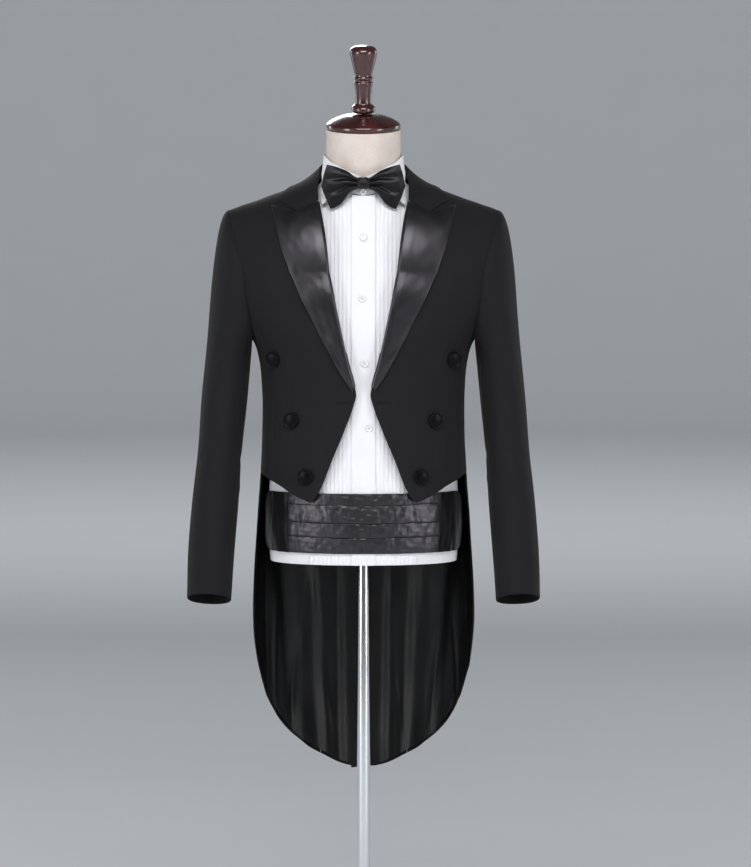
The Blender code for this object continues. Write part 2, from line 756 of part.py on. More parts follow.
def add_lapels(side, hand):
    """Columns run from the roll line out; the profile table is share, shift and height of the outer face."""
    rows = 12
    shares = [row[0] for row in LAPEL_PROFILE]
    roll = resample([coat_domain(x + FRONT_PAST_ROLL, z, 1) for x, z in ROLL_LINE], rows)
    edge = resample([coat_domain(x, z, 1) for x, z in LAPEL_EDGE], rows)
    dip = np.array(coat_domain(GORGE_END[0], GORGE_END[1] - 0.0012, 1))
    middle_at = (dip[0] - roll[-1][0]) / (edge[-1][0] - roll[-1][0])
    straight = roll[-1] + (edge[-1] - roll[-1]) * middle_at
    outer, inner = [], []
    for i in range(rows + 1):
        bent = (i / rows) ** 5
        domain = []
        for share in shares:
            point = roll[i] + (edge[i] - roll[i]) * share
            tent = min(share / middle_at, (1 - share) / (1 - middle_at))
            domain.append(point + (dip - straight) * tent * bent)
        domain = np.array(domain)
        heights = np.array([row[2] for row in LAPEL_PROFILE])
        shift = np.array([row[1] for row in LAPEL_PROFILE])
        for layer, wall in ((outer, 0.0), (inner, SATIN_WALL)):
            line = lifted(coat_surface, domain[:, 0], domain[:, 1], heights - wall)
            line[:, 0] += shift * min(1.0, 0.7 + i / 3)
            layer.append(line)
    inner = np.array(inner)
    outer = np.array(outer)
    inner[:, 0, 0] += 0.0012
    inner[:, 1, 0] += 0.0012
    outer[-1] += unit(outer[-2] - outer[-1]) * 0.0008
    inner[-1] += unit(inner[-2] - inner[-1]) * 0.0008
    add_shell(f"lapel_{hand}", outer, inner, "satin", side)


def collar_lines(columns):
    """Domain lines across the fall: at the gorge and notch, on the shoulder, at the middle of the back."""
    gorge = [coat_domain(ROLL_LINE[-1][0] + 0.0005, ROLL_LINE[-1][1] + 0.001, 1)]
    gorge.append(coat_domain(GORGE_END[0], GORGE_END[1] + 0.0006, 1))
    gorge.append(coat_domain(*COLLAR_CORNER, 1))
    start, bend, end = np.array(gorge)
    shares = np.linspace(0.0, 1.0, columns + 1)
    first = [start + (bend - start) * min(1, 2 * p) + (end - bend) * max(0, 2 * p - 1) for p in shares]
    half = COAT_SECTIONS[-1][1]
    shoulder = []
    back = []
    for p in shares:
        x = NECK_POINT_X + (COLLAR_SHOULDER_X - NECK_POINT_X) * p
        shoulder.append((math.asin((x / half) ** (COAT_ROUNDNESS / 2)), TOP))
        back.append((math.pi, BACK_NECK + (CHEST + SHOULDER_TRAVEL * COLLAR_BACK_TRAVEL - BACK_NECK) * p))
    return np.array(first), np.array(shoulder), np.array(back)


def collar_domain(share, lines):
    """Domain points across the fall at a share of the way from its front end to the middle of the back."""
    first, shoulder, back = lines
    if share <= COLLAR_SHOULDER_AT:
        part = share / COLLAR_SHOULDER_AT
        return first + (shoulder - first) * part
    turn = (share - COLLAR_SHOULDER_AT) / (1 - COLLAR_SHOULDER_AT) * math.pi / 2
    half = COAT_SECTIONS[-1][1]
    x = half * np.sin(shoulder[:, 0]) ** (2 / COAT_ROUNDNESS) * math.cos(turn)
    u = math.pi - np.arcsin((x / half) ** (COAT_ROUNDNESS / 2))
    h = TOP - (TOP - back[:, 1]) * math.sin(turn)
    return np.stack([u, h], axis=-1)


def collar_fold(share, neckline):
    """Point of the fold above and inside the neckline."""
    foot = coat_surface(*neckline)
    inside, rise = smooth(COLLAR_FOLD, share)
    towards = unit(np.array([-foot[0], NECK_MIDDLE_Y - foot[1], 0.0]))
    return foot + towards * inside + np.array([0.0, 0.0, rise])


def collar_half(rows, columns):
    """Half of the fall; its rise above the coat grows towards the fold."""
    lines = collar_lines(columns)
    shares = np.linspace(0.0, 1.0, columns + 1)
    grid = []
    for share in np.linspace(0.0, 1.0, rows + 1):
        domain = collar_domain(share, lines)
        line = lifted(coat_surface, domain[:, 0], domain[:, 1], np.full(columns + 1, COLLAR_LIFT))
        line += ((1 - shares) ** COLLAR_SPREAD)[:, None] * (collar_fold(share, domain[0]) - line[0])
        grid.append(line)
    return np.array(grid)


def both_halves(half):
    """A grid from its half: mirrored to the other side and joined at the middle row."""
    other = half[:-1] * np.array([-1, 1, 1])
    return np.concatenate([other, half[::-1]])


def add_coat_collar():
    outer = both_halves(collar_half(10, 5))
    inner = grid_lifted(outer, np.full(outer.shape[:2], SATIN_WALL))
    add_shell("coat_collar", outer, inner, "wool")


def add_collar_stand():
    """Upright inner band between the neckline and the fold."""
    rows = 9
    lines = collar_lines(1)
    half = []
    for share in np.linspace(COLLAR_STAND_START, 1.0, rows + 1):
        neckline = collar_domain(share, lines)[0]
        foot = coat_surface(*neckline)
        fold = collar_fold(share, neckline)
        towards = unit(np.array([-fold[0], NECK_MIDDLE_Y - fold[1], 0.0]))
        low = foot + towards * COLLAR_STAND_FOOT[0] + np.array([0, 0, COLLAR_STAND_FOOT[1]])
        high = fold + towards * COLLAR_STAND_TOP[0] + np.array([0, 0, COLLAR_STAND_TOP[1]])
        half.append([low, (low + high) / 2, high])
    outer = both_halves(np.array(half))
    inner = outer.copy()
    middle = np.array([0.0, NECK_MIDDLE_Y, 0.0])
    towards = middle - outer
    towards[..., 2] = 0.0
    inner += unit(towards) * SATIN_WALL
    add_shell("coat_collar_stand", outer, inner, "wool")


# Buttons

def button_profile(radius, height):
    return (
        (0.0, 0.0),
        (radius * 0.86, 0.0),
        (radius, height * 0.28),
        (radius * 0.93, height * 0.62),
        (radius * 0.62, height * 0.92),
        (0.0, height),
    )


def facing_place(point, normal):
    """Matrix that sets a turned body's axis along a normal at a point."""
    turn = Vector((0, 0, 1)).rotation_difference(Vector(normal))
    return Matrix.Translation(Vector(point)) @ turn.to_matrix().to_4x4()


def seat_lift(surface, first, second, normal, centre, radius):
    """How far the cloth round a button rises above the plane at its middle."""
    near = surface(first, second) - centre
    within = np.linalg.norm(near, axis=-1) < radius * 1.15
    return float(np.max(np.where(within, near @ normal, 0.0)))


def add_coat_buttons(side, hand):
    for number, (x, height) in enumerate(COAT_BUTTONS, 1):
        u, h = coat_domain(x, height, 1)
        centre = coat_surface(u, h)
        normal = unit(lifted(coat_surface, np.array(u), np.array(h), SEAT_GAP) - centre)
        reach = np.linspace(-0.15, 0.15, 61)
        around = np.meshgrid(u + reach, h + reach / 5)
        rise = BUTTON_SEAT_SHARE * seat_lift(coat_surface, *around, normal, centre, COAT_BUTTON_RADIUS)
        mirror = np.array([side, 1, 1])
        place = facing_place((centre + normal * (rise + SEAT_GAP)) * mirror, normal * mirror)
        profile = button_profile(COAT_BUTTON_RADIUS, COAT_BUTTON_HEIGHT)
        add_turned(f"coat_button_{hand}_{number}", profile, 12, "satin", place)


# Dress form surface

def form_section(z):
    return smooth(FORM_SECTIONS, z)


def form_surface(u, z):
    section = form_section(z)
    power = 2 / section[..., 3]
    sine, cosine = np.sin(u), np.cos(u)
    x = section[..., 0] * np.sign(sine) * np.abs(sine) ** power
    depth = np.where(cosine > 0, section[..., 1], section[..., 2])
    y = NECK_MIDDLE_Y * ease(z, 1.380, 1.430) - depth * np.sign(cosine) * np.abs(cosine) ** power
    return np.stack([x, y, np.broadcast_to(z, x.shape)], axis=-1)


def form_angle(x, z):
    """Angle from the middle of the front of the form's point at x."""
    section = form_section(z)
    share = np.clip(np.abs(x) / section[..., 0], 0.0, 0.99998)
    return np.arcsin(share ** (section[..., 3] / 2)) * np.sign(x)


def add_form():
    """Torso and neck as one closed body with a flat bottom."""
    maker = bmesh.new()
    turns = np.linspace(0, 2 * math.pi, FORM_SEGMENTS + 1)[:-1]
    rings = []
    for height in FORM_RING_HEIGHTS:
        z = np.full(turns.shape, height)
        inside = FORM_EASE * (1 - ease(height, 1.400, 1.450))
        ring = lifted(form_surface, turns, z, np.full(turns.shape, -inside))
        ring[:, 2] = height if height < CHEST else ring[:, 2]
        rings.append(ring)
    tilt = Matrix.Rotation(NECK_TILT, 4, "X")
    top = []
    for turn in turns:
        flat = Vector((NECK_RADIUS * math.sin(turn), -NECK_RADIUS * math.cos(turn), 0.0))
        top.append(Vector((0, NECK_TOP_Y, NECK_TOP)) + tilt @ flat)
    rings.append(np.array(top))
    made = [[maker.verts.new(point) for point in ring] for ring in rings]
    for below, above in zip(made, made[1:]):
        for k in range(len(turns)):
            after = (k + 1) % len(turns)
            maker.faces.new((below[k], below[after], above[after], above[k]))
    maker.faces.new(made[0][::-1])
    maker.faces.new(made[-1])
    add_object("form_torso", maker, "linen")


# Shirt, laid on the form

SHIRT_ROW_SHARES = (0.0, 0.08, 0.19, 0.31, 0.44, 0.57, 0.69, 0.80, 0.89, 0.955, 1.0)


def pleat_columns():
    """Distances from the middle and raised heights of the columns that draw the pleats."""
    rows = []
    start = PLACKET_HALF + 0.001
    for k in range(PLEAT_COUNT):
        x = start + k * PLEAT_WIDTH
        rows.append((x, 0.15 * PLEAT_HEIGHT))
        rows.append((x + PLEAT_WIDTH * 0.82, PLEAT_HEIGHT))
    rows.append((start + PLEAT_COUNT * PLEAT_WIDTH, 0.0))
    return rows


def neck_foot(turn):
    """Height where the ring of the collar stand meets the form's slope, at an angle from the front."""
    heights = np.linspace(1.380, 1.450, 141)
    round_form = np.linspace(0.0, math.pi, 181)
    for height in heights:
        points = form_surface(round_form, np.full(round_form.shape, height))
        from_middle = points[:, :2] - np.array([0.0, NECK_MIDDLE_Y])
        angles = np.arctan2(from_middle[:, 0], -from_middle[:, 1])
        radius = np.interp(turn, angles, np.linalg.norm(from_middle, axis=1))
        if radius < STAND_RADIUS - 0.0004:
            return height
    return heights[-1]


def shoulder_top(x):
    """Height of the form's shoulder line."""
    heights = np.linspace(1.34, 1.44, 201)
    return float(np.interp(-x, -form_section(heights)[:, 0], heights)) - 0.0008


def shirt_top(x, facing=1):
    """Height where a column of the shirt ends: the neckline, then the shoulder line."""
    if x > STAND_RADIUS * 0.99:
        return shoulder_top(x)
    turn = math.asin(x / STAND_RADIUS)
    return neck_foot(turn if facing > 0 else math.pi - turn) - NECK_SEAM


def shirt_outside(z):
    """Distance from the middle of the side seam and of the armhole."""
    share = smooth(SHIRT_ARMHOLE, z)[..., 0]
    return form_section(z)[..., 0] * np.where(z < SHIRT_SEAM_HEIGHT, 1.0, share) * 0.9995


def shirt_columns(xs, outside_columns, facing):
    """Grid of (x, height) for half a shirt; past the given columns it spreads to the side seam."""
    s = np.array(SHIRT_ROW_SHARES)
    grid = []
    for x in xs:
        top = shirt_top(x, facing)
        z = SHIRT_HEM + (top - SHIRT_HEM) * s
        grid.append(np.stack([np.full(z.shape, x), z], axis=-1))
    last = xs[-1]
    shoulder_end = form_section(1.362)[0] * 0.93
    for k in range(1, outside_columns + 1):
        share = k / outside_columns
        top = shirt_top(last + (shoulder_end - last) * share)
        z = SHIRT_HEM + (top - SHIRT_HEM) * s
        inside = form_angle(np.full(z.shape, last), z)
        angle = inside + (form_angle(shirt_outside(z), z) - inside) * share
        section = form_section(z)
        x = section[:, 0] * np.sin(angle) ** (2 / section[:, 3])
        x[-1] = last + (shoulder_end - last) * share
        grid.append(np.stack([x, z], axis=-1))
    return np.array(grid).transpose(1, 0, 2)


def on_form(plan, lift, facing):
    x, z = plan[..., 0], plan[..., 1]
    u = form_angle(x, z)
    if facing < 0:
        u = math.pi - u
    return lifted(form_surface, u, z, lift)


def add_shirt_fronts(side, hand):
    pleats = pleat_columns()
    xs = [0.0004, PLACKET_HALF - 0.001, *[row[0] for row in pleats]]
    raised = [0.0, 0.0, *[row[1] for row in pleats]]
    plan = shirt_columns(xs, 3, 1)
    lift = np.zeros(plan.shape[:2]) + SHIRT_OFF
    outer = on_form(plan, lift + SHIRT_WALL + np.array([*raised, 0, 0, 0]), 1)
    inner = on_form(plan, lift, 1)
    add_shell(f"shirt_front_{hand}", outer, inner, "cotton", side)


def add_shirt_back():
    plan = shirt_columns([0.0, 0.025, 0.046, 0.0603, 0.074, 0.1], 3, -1)
    mirrored = plan[:, 1:][:, ::-1] * np.array([-1, 1])
    plan = np.concatenate([mirrored, plan], axis=1)
    lift = np.full(plan.shape[:2], SHIRT_OFF)
    outer = on_form(plan, lift + SHIRT_WALL, -1)
    inner = on_form(plan, lift, -1)
    add_shell("shirt_back", outer, inner, "cotton")


def add_placket():
    """Plain front strip over the meeting edges, from the collar to the hem."""
    half = shirt_columns([0.0, 0.0095, PLACKET_HALF], 0, 1)
    plan = np.concatenate([half[:, 1:][:, ::-1] * np.array([-1, 1]), half], axis=1)
    lift = np.full(plan.shape[:2], SHIRT_OFF + SHIRT_WALL + PLACKET_LIFT)
    outer = on_form(plan, lift + SHIRT_WALL, 1)
    inner = on_form(plan, lift, 1)
    add_shell("shirt_placket", outer, inner, "cotton")
    return outer


def add_shirt_buttons(placket):
    """Four buttons on the placket's own facets and one on the collar stand."""
    places = []
    for x, z in SHIRT_BUTTONS:
        line = np.array([[np.interp(x, row[:, 0], row[:, k]) for k in range(3)] for row in placket])
        heights = z + np.array([-0.004, 0.0, 0.004])
        along = np.stack([np.interp(heights, line[:, 2], line[:, k]) for k in range(3)], axis=-1)
        slope = along[2] - along[0]
        normal = unit(np.array([0.0, -slope[2], slope[1]]))
        places.append((along[1] + normal * (SEAT_GAP + 0.0001), normal))
    collar = ring_point(0.0, STAND_RADIUS + SHIRT_WALL + SEAT_GAP, COLLAR_BUTTON_HEIGHT)
    places.append((collar, np.array([0.0, -1.0, 0.0])))
    for number, (point, normal) in enumerate(places, 1):
        radius = SHIRT_BUTTON_RADIUS
        profile = ((0.0, 0.0), (radius, 0.0), (radius, 0.0016), (radius * 0.63, 0.0023), (0.0, 0.0018))
        add_turned(f"shirt_button_{number}", profile, 12, "pearl", facing_place(point, normal))


# Shirt collar and bow tie

def ring_point(turn, radius, height):
    return np.array([radius * math.sin(turn), NECK_MIDDLE_Y - radius * math.cos(turn), height])


def add_shirt_collar():
    turns = np.linspace(math.radians(0.6), math.radians(359.4), 25)
    stand = []
    for turn in turns:
        from_front = min(turn, 2 * math.pi - turn)
        fold = smooth(COLLAR_RING, math.degrees(from_front))[0]
        foot = neck_foot(from_front) + STAND_FOOT
        stand.append([ring_point(turn, STAND_RADIUS, foot), ring_point(turn, STAND_RADIUS, fold - 0.0012)])
    stand = np.array(stand)
    outward = unit((stand - np.array([0, NECK_MIDDLE_Y, 0])) * np.array([1, 1, 0]))
    add_shell("shirt_collar_stand", stand + outward * SHIRT_WALL, stand, "cotton")
    half = []
    columns = 4
    for share in np.linspace(0.0, 1.0, 13):
        turn = LEAF_START + (math.pi - LEAF_START) * share
        fold = smooth(COLLAR_RING, math.degrees(turn))[0]
        top = ring_point(turn, LEAF_TOP_RADIUS, fold)
        edge = smooth(LEAF_EDGE, share)
        line = []
        for p in np.linspace(0.0, 1.0, columns + 1):
            point = top + (edge - top) * p
            radial = (point - np.array([0, NECK_MIDDLE_Y, 0])) * np.array([1, 1, 0])
            least = LEAF_TOP_RADIUS + LEAF_SPREAD * p
            reach = max(least, np.linalg.norm(radial))
            point = np.array([0, NECK_MIDDLE_Y, point[2]]) + unit(radial) * reach
            line.append(point)
        half.append(line)
    inner = both_halves(np.array(half))
    outward = unit((inner - np.array([0, NECK_MIDDLE_Y, 0])) * np.array([1, 1, 0]))
    outer = inner + outward * SHIRT_WALL
    add_shell("shirt_collar_leaf", outer, inner, "cotton")


def bow_wing(rows, columns):
    """Front and back grids of one wing; two folds spread from the knot on either side of a ridge."""
    front, back = [], []
    table = [(k / (len(BOW_SECTIONS) - 1), *row) for k, row in enumerate(BOW_SECTIONS)]
    for share in np.linspace(0.0, 1.0, rows + 1):
        x, low, high, half = smooth(table, share)
        spread = np.linspace(-1.0, 1.0, columns + 1)
        z = TIE_MIDDLE + (low + high) / 2 + spread * (high - low) / 2
        swell = half * (1 - np.abs(spread) ** 4) + BOW_EDGE
        valley = np.exp(-(((np.abs(spread) - BOW_FOLD_AT) / BOW_FOLD_WIDTH) ** 2))
        folds = valley * BOW_FOLD_DEPTH * (1 - share) ** 0.6
        lean = BOW_LEAN * share**2
        front.append(np.stack([np.full(z.shape, x), TIE_FRONT_Y + lean - swell * (1 - folds), z], axis=-1))
        back.append(np.stack([np.full(z.shape, x), TIE_FRONT_Y + lean + 0.6 * swell, z], axis=-1))
    return np.array(front), np.array(back)


def add_bow_tie():
    for side, hand in ((-1, "right"), (1, "left")):
        front, back = bow_wing(8, 8)
        add_shell(f"bow_wing_{hand}", front, back, "satin", side)
    maker = bmesh.new()
    bmesh.ops.create_uvsphere(maker, u_segments=14, v_segments=9, radius=1.0)
    for vert in maker.verts:
        squared = [math.copysign(abs(value) ** 0.7, value) for value in vert.co]
        vert.co = Vector(half * value for half, value in zip(KNOT_HALF, squared))
    bmesh.ops.translate(maker, vec=(0, TIE_FRONT_Y, TIE_MIDDLE), verts=maker.verts)
    add_object("bow_knot", maker, "satin")


# Cummerbund, laid over the shirt

def add_band(name, u, z, side):
    """A plain part of the cummerbund over the form's own angles and heights."""
    layers = []
    for wall in (SATIN_WALL + CUMMERBUND_EXTRA, 0.0):
        layer = lifted(form_surface, u, z, np.full(u.shape, CUMMERBUND_OFF + wall))
        layers.append(drawn_in(layer, "left right"))
    add_shell(name, layers[0], layers[1], "satin", side)


def add_cummerbund():
    """Folded front between two seams, a plain narrowing part at each side and a strap round the back."""
    middle = (CUMMERBUND_TOP + CUMMERBUND_BOTTOM) / 2
    full = CUMMERBUND_TOP - CUMMERBUND_BOTTOM
    heights = [CUMMERBUND_BOTTOM]
    raised = [0.35]
    for fold in CUMMERBUND_FOLDS[::-1]:
        heights.extend([(heights[-1] + fold) / 2, fold - 0.0012, fold + 0.0004])
        raised.extend([0.65, 1.0, 0.0])
    heights.extend([(heights[-1] + CUMMERBUND_TOP) / 2, CUMMERBUND_TOP])
    raised.extend([0.5, 1.0])
    z = np.array(heights)
    x = np.linspace(-CUMMERBUND_SEAM_X, CUMMERBUND_SEAM_X, 13)
    plan = np.stack(np.broadcast_arrays(x[None, :], z[:, None]), axis=-1)
    base = np.full(plan.shape[:2], CUMMERBUND_OFF)
    outer = on_form(plan, base + SATIN_WALL + CUMMERBUND_STEP * np.array(raised)[:, None], 1)
    inner = on_form(plan, base, 1)
    add_shell("cummerbund_front", drawn_in(outer, "left right"), drawn_in(inner, "left right"), "satin")
    for side, hand in ((-1, "right"), (1, "left")):
        start = float(form_angle(np.array(CUMMERBUND_SEAM_X), np.array(middle)))
        u = np.linspace(start, CUMMERBUND_SIDE_END, 8)[None, :]
        narrowing = ease(u, CUMMERBUND_SIDE_TURN, CUMMERBUND_SIDE_END) * (full - CUMMERBUND_STRAP_HEIGHT) / 2
        share = np.linspace(0.0, 1.0, 5)[:, None]
        z = (CUMMERBUND_BOTTOM + narrowing) * (1 - share) + (CUMMERBUND_TOP - narrowing) * share
        u, z = np.broadcast_arrays(u, z)
        u = u.copy()
        u[:, 0] = form_angle(np.full(len(z), CUMMERBUND_SEAM_X), z[:, 0])
        add_band(f"cummerbund_side_{hand}", u, z, side)
    u = np.linspace(CUMMERBUND_SIDE_END, 2 * math.pi - CUMMERBUND_SIDE_END, 15)[None, :]
    z = middle + CUMMERBUND_STRAP_HEIGHT * np.linspace(-0.5, 0.5, 3)[:, None]
    add_band("cummerbund_strap", *np.broadcast_arrays(u, z), 1)


# Stand

def add_stand():
    cap_place = Matrix.Translation((0, NECK_TOP_Y, NECK_TOP)) @ Matrix.Rotation(NECK_TILT, 4, "X")
    cap = (
        (0.0, SEAT_GAP),
        (CAP_RADIUS - 0.003, SEAT_GAP),
        (CAP_RADIUS, 0.003),
        (CAP_RADIUS, 0.008),
        (CAP_RADIUS - 0.003, 0.0115),
        (0.046, 0.0175),
        (0.029, 0.0235),
        (0.0, 0.0255),
    )
    add_turned("neck_cap", cap, 24, "wood", cap_place)
    finial = (
        (0.0, 0.0258),
        (0.0165, 0.0258),
        (0.0192, 0.0298),
        (0.0192, 0.0345),
        (0.0165, 0.0385),
        (0.0130, 0.0405),
        (0.0125, 0.0500),
        (0.0140, 0.0680),
        (0.0160, 0.0750),
        (0.0132, 0.0785),
        (0.0165, 0.0820),
        (0.0135, 0.0862),
        (0.0162, 0.0950),
        (0.0212, 0.1170),
        (0.0225, 0.1240),
        (0.0205, 0.1295),
        (0.0144, 0.1335),
        (0.0, 0.1345),
    )
    add_turned("finial", finial, 14, "wood", cap_place)
    pole = (
        (0.0, POLE_FOOT),
        (POLE_RADIUS, POLE_FOOT),
        (POLE_RADIUS, FORM_BOTTOM - SEAT_GAP),
        (0.0, FORM_BOTTOM - SEAT_GAP),
    )
    add_turned("pole", pole, 16, "chrome")
    base = (
        (0.0, 0.0),
        (BASE_RADIUS - 0.002, 0.0),
        (BASE_RADIUS, 0.002),
        (BASE_RADIUS, 0.009),
        (BASE_RADIUS - 0.004, 0.0125),
        (0.060, POLE_FOOT - SEAT_GAP),
        (0.0, POLE_FOOT - SEAT_GAP),
    )
    add_turned("base", base, 32, "base_metal")


def main():
    for old in list(bpy.data.objects):
        bpy.data.objects.remove(old)
    add_stand()
    add_form()
    add_shirt_back()
    placket = add_placket()
    add_shirt_buttons(placket)
    add_shirt_collar()
    add_bow_tie()
    add_cummerbund()
    add_coat_collar()
    add_collar_stand()
    for side, hand in ((-1, "right"), (1, "left")):
        add_shirt_fronts(side, hand)
        add_coat_fronts(side, hand)
        add_coat_sides(side, hand)
        add_coat_backs(side, hand)
        add_skirts(side, hand)
        add_linings(side, hand)
        add_sleeves(side, hand)
        add_lapels(side, hand)
        add_coat_buttons(side, hand)


main()
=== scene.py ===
import math

import bmesh
import bpy
import numpy as np
from mathutils import Matrix, Vector


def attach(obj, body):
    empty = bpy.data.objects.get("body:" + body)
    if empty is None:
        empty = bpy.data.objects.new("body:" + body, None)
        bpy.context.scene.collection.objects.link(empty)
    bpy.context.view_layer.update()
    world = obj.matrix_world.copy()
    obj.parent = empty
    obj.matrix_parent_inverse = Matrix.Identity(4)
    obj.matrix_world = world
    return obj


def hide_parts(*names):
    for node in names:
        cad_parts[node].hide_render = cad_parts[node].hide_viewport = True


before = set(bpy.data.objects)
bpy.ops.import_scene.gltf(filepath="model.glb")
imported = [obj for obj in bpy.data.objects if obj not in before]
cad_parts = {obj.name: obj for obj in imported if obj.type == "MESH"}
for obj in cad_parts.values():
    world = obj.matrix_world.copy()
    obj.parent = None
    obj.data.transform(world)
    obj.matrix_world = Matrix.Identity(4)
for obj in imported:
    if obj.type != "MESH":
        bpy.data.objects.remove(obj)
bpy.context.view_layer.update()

# An evening tailcoat with shirt, cummerbund and bow tie on a limbless dress form.
# Metres, +Z up, the front faces -Y. Outlines are (distance from the middle, height) pairs.
# The cloth stands on the same surfaces as its solids, with finer rows and columns, creases and rounded edges.

# Walls and gaps
COAT_WALL = 0.0016
SATIN_WALL = 0.0013
LINING_WALL = 0.0010
SHIRT_WALL = 0.0010
SEAM_GAP = 0.0004
SEAT_GAP = 0.0003

# Coat surface
CHEST = 1.280
SHOULDER_TRAVEL = 0.130
WAIST_SEAM = 0.957
COAT_ROUNDNESS = 2.4
SHOULDER_LINE_Y = 0.008
SHOULDER_TIP = (0.2145, 1.376)
SHOULDER_SLOPE = 0.355
NECK_POINT_X = 0.078
BACK_NECK_RISE = 0.60

# Coat sections: height, half width, depth to the front, depth to the back
COAT_SECTIONS = (
    (0.455, 0.170, 0.110, 0.138),
    (0.600, 0.178, 0.112, 0.144),
    (0.750, 0.178, 0.114, 0.138),
    (0.880, 0.1705, 0.118, 0.125),
    (0.957, 0.1650, 0.124, 0.113),
    (1.030, 0.1624, 0.119, 0.106),
    (1.090, 0.1626, 0.121, 0.109),
    (1.136, 0.1665, 0.126, 0.114),
    (1.160, 0.1730, 0.128, 0.117),
    (1.180, 0.1840, 0.129, 0.119),
    (1.205, 0.1970, 0.129, 0.120),
    (1.245, 0.2150, 0.126, 0.118),
    (1.280, 0.2260, 0.121, 0.113),
)
CUTAWAY_EDGE = (
    (0.0836, 0.914),
    (0.0765, 0.921),
    (0.0686, 0.935),
    (0.0489, 0.984),
    (0.0291, 1.031),
    (0.0153, 1.069),
    (0.0110, 1.086),
)
ROLL_LINE = (
    (0.0134, 1.099),
    (0.0270, 1.146),
    (0.0403, 1.209),
    (0.0506, 1.264),
    (0.0597, 1.329),
    (0.0712, 1.392),
)
FRONT_PAST_ROLL = 0.0035
LAPEL_EDGE = (
    (0.0170, 1.0915),
    (0.0427, 1.132),
    (0.0653, 1.1745),
    (0.0891, 1.2225),
    (0.1169, 1.283),
    (0.1298, 1.3206),
    (0.1404, 1.361),
    (0.1456, 1.383),
)
GORGE_END = (0.1050, 1.373)
COLLAR_CORNER = (0.1350, 1.390)
COLLAR_SHOULDER_X = 0.116
COLLAR_BACK_TRAVEL = 0.50
FRONT_HEM = ((0.0836, 0.914), (0.1146, 0.928), (0.1283, 0.937), (0.1430, 0.945))
SIDE_HEM = ((0.1430, 0.945), (0.1570, 0.952))
SIDE_FRONT_SEAM = (
    (0.1430, 0.945),
    (0.1430, 1.030),
    (0.1430, 1.120),
    (0.1560, 1.165),
    (0.1770, 1.188),
)
FRONT_ARMHOLE = (
    (0.1770, 1.188),
    (0.1825, 1.220),
    (0.1860, 1.2406),
    (0.1900, 1.2756),
    (0.1990, 1.3085),
    (0.2075, 1.343),
    (0.2130, 1.367),
)
BACK_ARMHOLE = (
    (0.1860, 1.235),
    (0.1890, 1.270),
    (0.1960, 1.3085),
    (0.2050, 1.343),
    (0.2120, 1.367),
)
ARMHOLE_BOTTOM_HEIGHT = 1.1712
SIDE_BACK_SEAM = (
    (0.0480, 0.957),
    (0.0520, 1.030),
    (0.0740, 1.110),
    (0.1180, 1.175),
    (0.1610, 1.214),
    (0.1860, 1.235),
)
TAIL_SEAM = (
    (0.0480, 0.957),
    (0.0580, 0.860),
    (0.0660, 0.700),
    (0.0700, 0.560),
    (0.0700, 0.4865),
)
# Edge of a tail: angle from the middle of the front in degrees, height
TAIL_EDGE = (
    (84.0, 0.957),
    (87.0, 0.860),
    (91.0, 0.760),
    (97.0, 0.702),
    (104.0, 0.664),
    (112.0, 0.6245),
    (120.0, 0.5870),
)
TAIL_HEM = (
    (120.0, 0.5870),
    (130.0, 0.5540),
    (140.0, 0.5240),
    (150.0, 0.5025),
    (159.4, 0.4865),
    (170.0, 0.4705),
    (180.0, 0.4615),
)
SEAM_AT_HEM = 159.4
VENT_TOP = 0.940
VENT_LAP = 0.022
VENT_TURN = 0.003
VENT_LIFT = 0.0031
VENT_RAMP = 0.020
LINING_GAP = 0.0006
LINING_INSET = 0.004

# Hanging folds of a tail: distance from the middle at the top and at the hem, width, height of the wave
TAIL_FOLDS = (
    (0.026, 0.022, 0.012, -0.0016),
    (0.052, 0.046, 0.014, 0.0052),
    (0.078, 0.066, 0.012, -0.0022),
    (0.104, 0.080, 0.015, 0.0048),
    (0.134, 0.100, 0.013, -0.0024),
    (0.158, 0.130, 0.012, 0.0030),
)
# How far the lining bags away from the cloth at each fold
LINING_SLACK = (0.0, 0.0140, 0.0, 0.0130, 0.0, 0.0060)
FOLD_START = 0.935
FOLD_FULL = 0.700

# Sleeve below the armpit: height, middle x, middle y, half width, half depth
SLEEVE_SECTIONS = (
    (1.140, 0.2165, 0.000, 0.0362, 0.0740),
    (1.070, 0.2232, -0.002, 0.0362, 0.0690),
    (0.990, 0.2300, -0.008, 0.0352, 0.0630),
    (0.910, 0.2370, -0.022, 0.0370, 0.0580),
    (0.830, 0.2430, -0.041, 0.0368, 0.0535),
    (0.757, 0.2462, -0.060, 0.0352, 0.0500),
)
ARMHOLE_TUCK = 0.0008
CAP_REACH = 0.014
CAP_FULLNESS = 0.012
CAP_HANG = 0.45
CAP_SWING = 0.10

# Dress form sections: height, half width, depth to the front, depth to the back, roundness
FORM_SECTIONS = (
    (0.818, 0.1480, 0.114, 0.108, 2.15),
    (0.860, 0.1515, 0.117, 0.112, 2.15),
    (0.930, 0.1495, 0.111, 0.103, 2.15),
    (1.030, 0.1440, 0.105, 0.090, 2.15),
    (1.100, 0.1490, 0.110, 0.096, 2.15),
    (1.170, 0.1590, 0.115, 0.103, 2.15),
    (1.230, 0.1720, 0.113, 0.104, 2.15),
    (1.290, 0.1840, 0.104, 0.098, 2.15),
    (1.330, 0.1850, 0.092, 0.090, 2.10),
    (1.355, 0.1730, 0.083, 0.083, 2.00),
    (1.375, 0.1450, 0.075, 0.076, 1.85),
    (1.392, 0.1080, 0.0676, 0.0689, 1.70),
    (1.408, 0.0780, 0.0620, 0.0625, 1.80),
    (1.424, 0.0640, 0.0602, 0.0602, 1.95),
    (1.440, 0.0601, 0.0601, 0.0601, 2.00),
    (1.475, 0.0600, 0.0600, 0.0600, 2.00),
)
FORM_EASE = 0.0060
NECK_TOP = 1.505
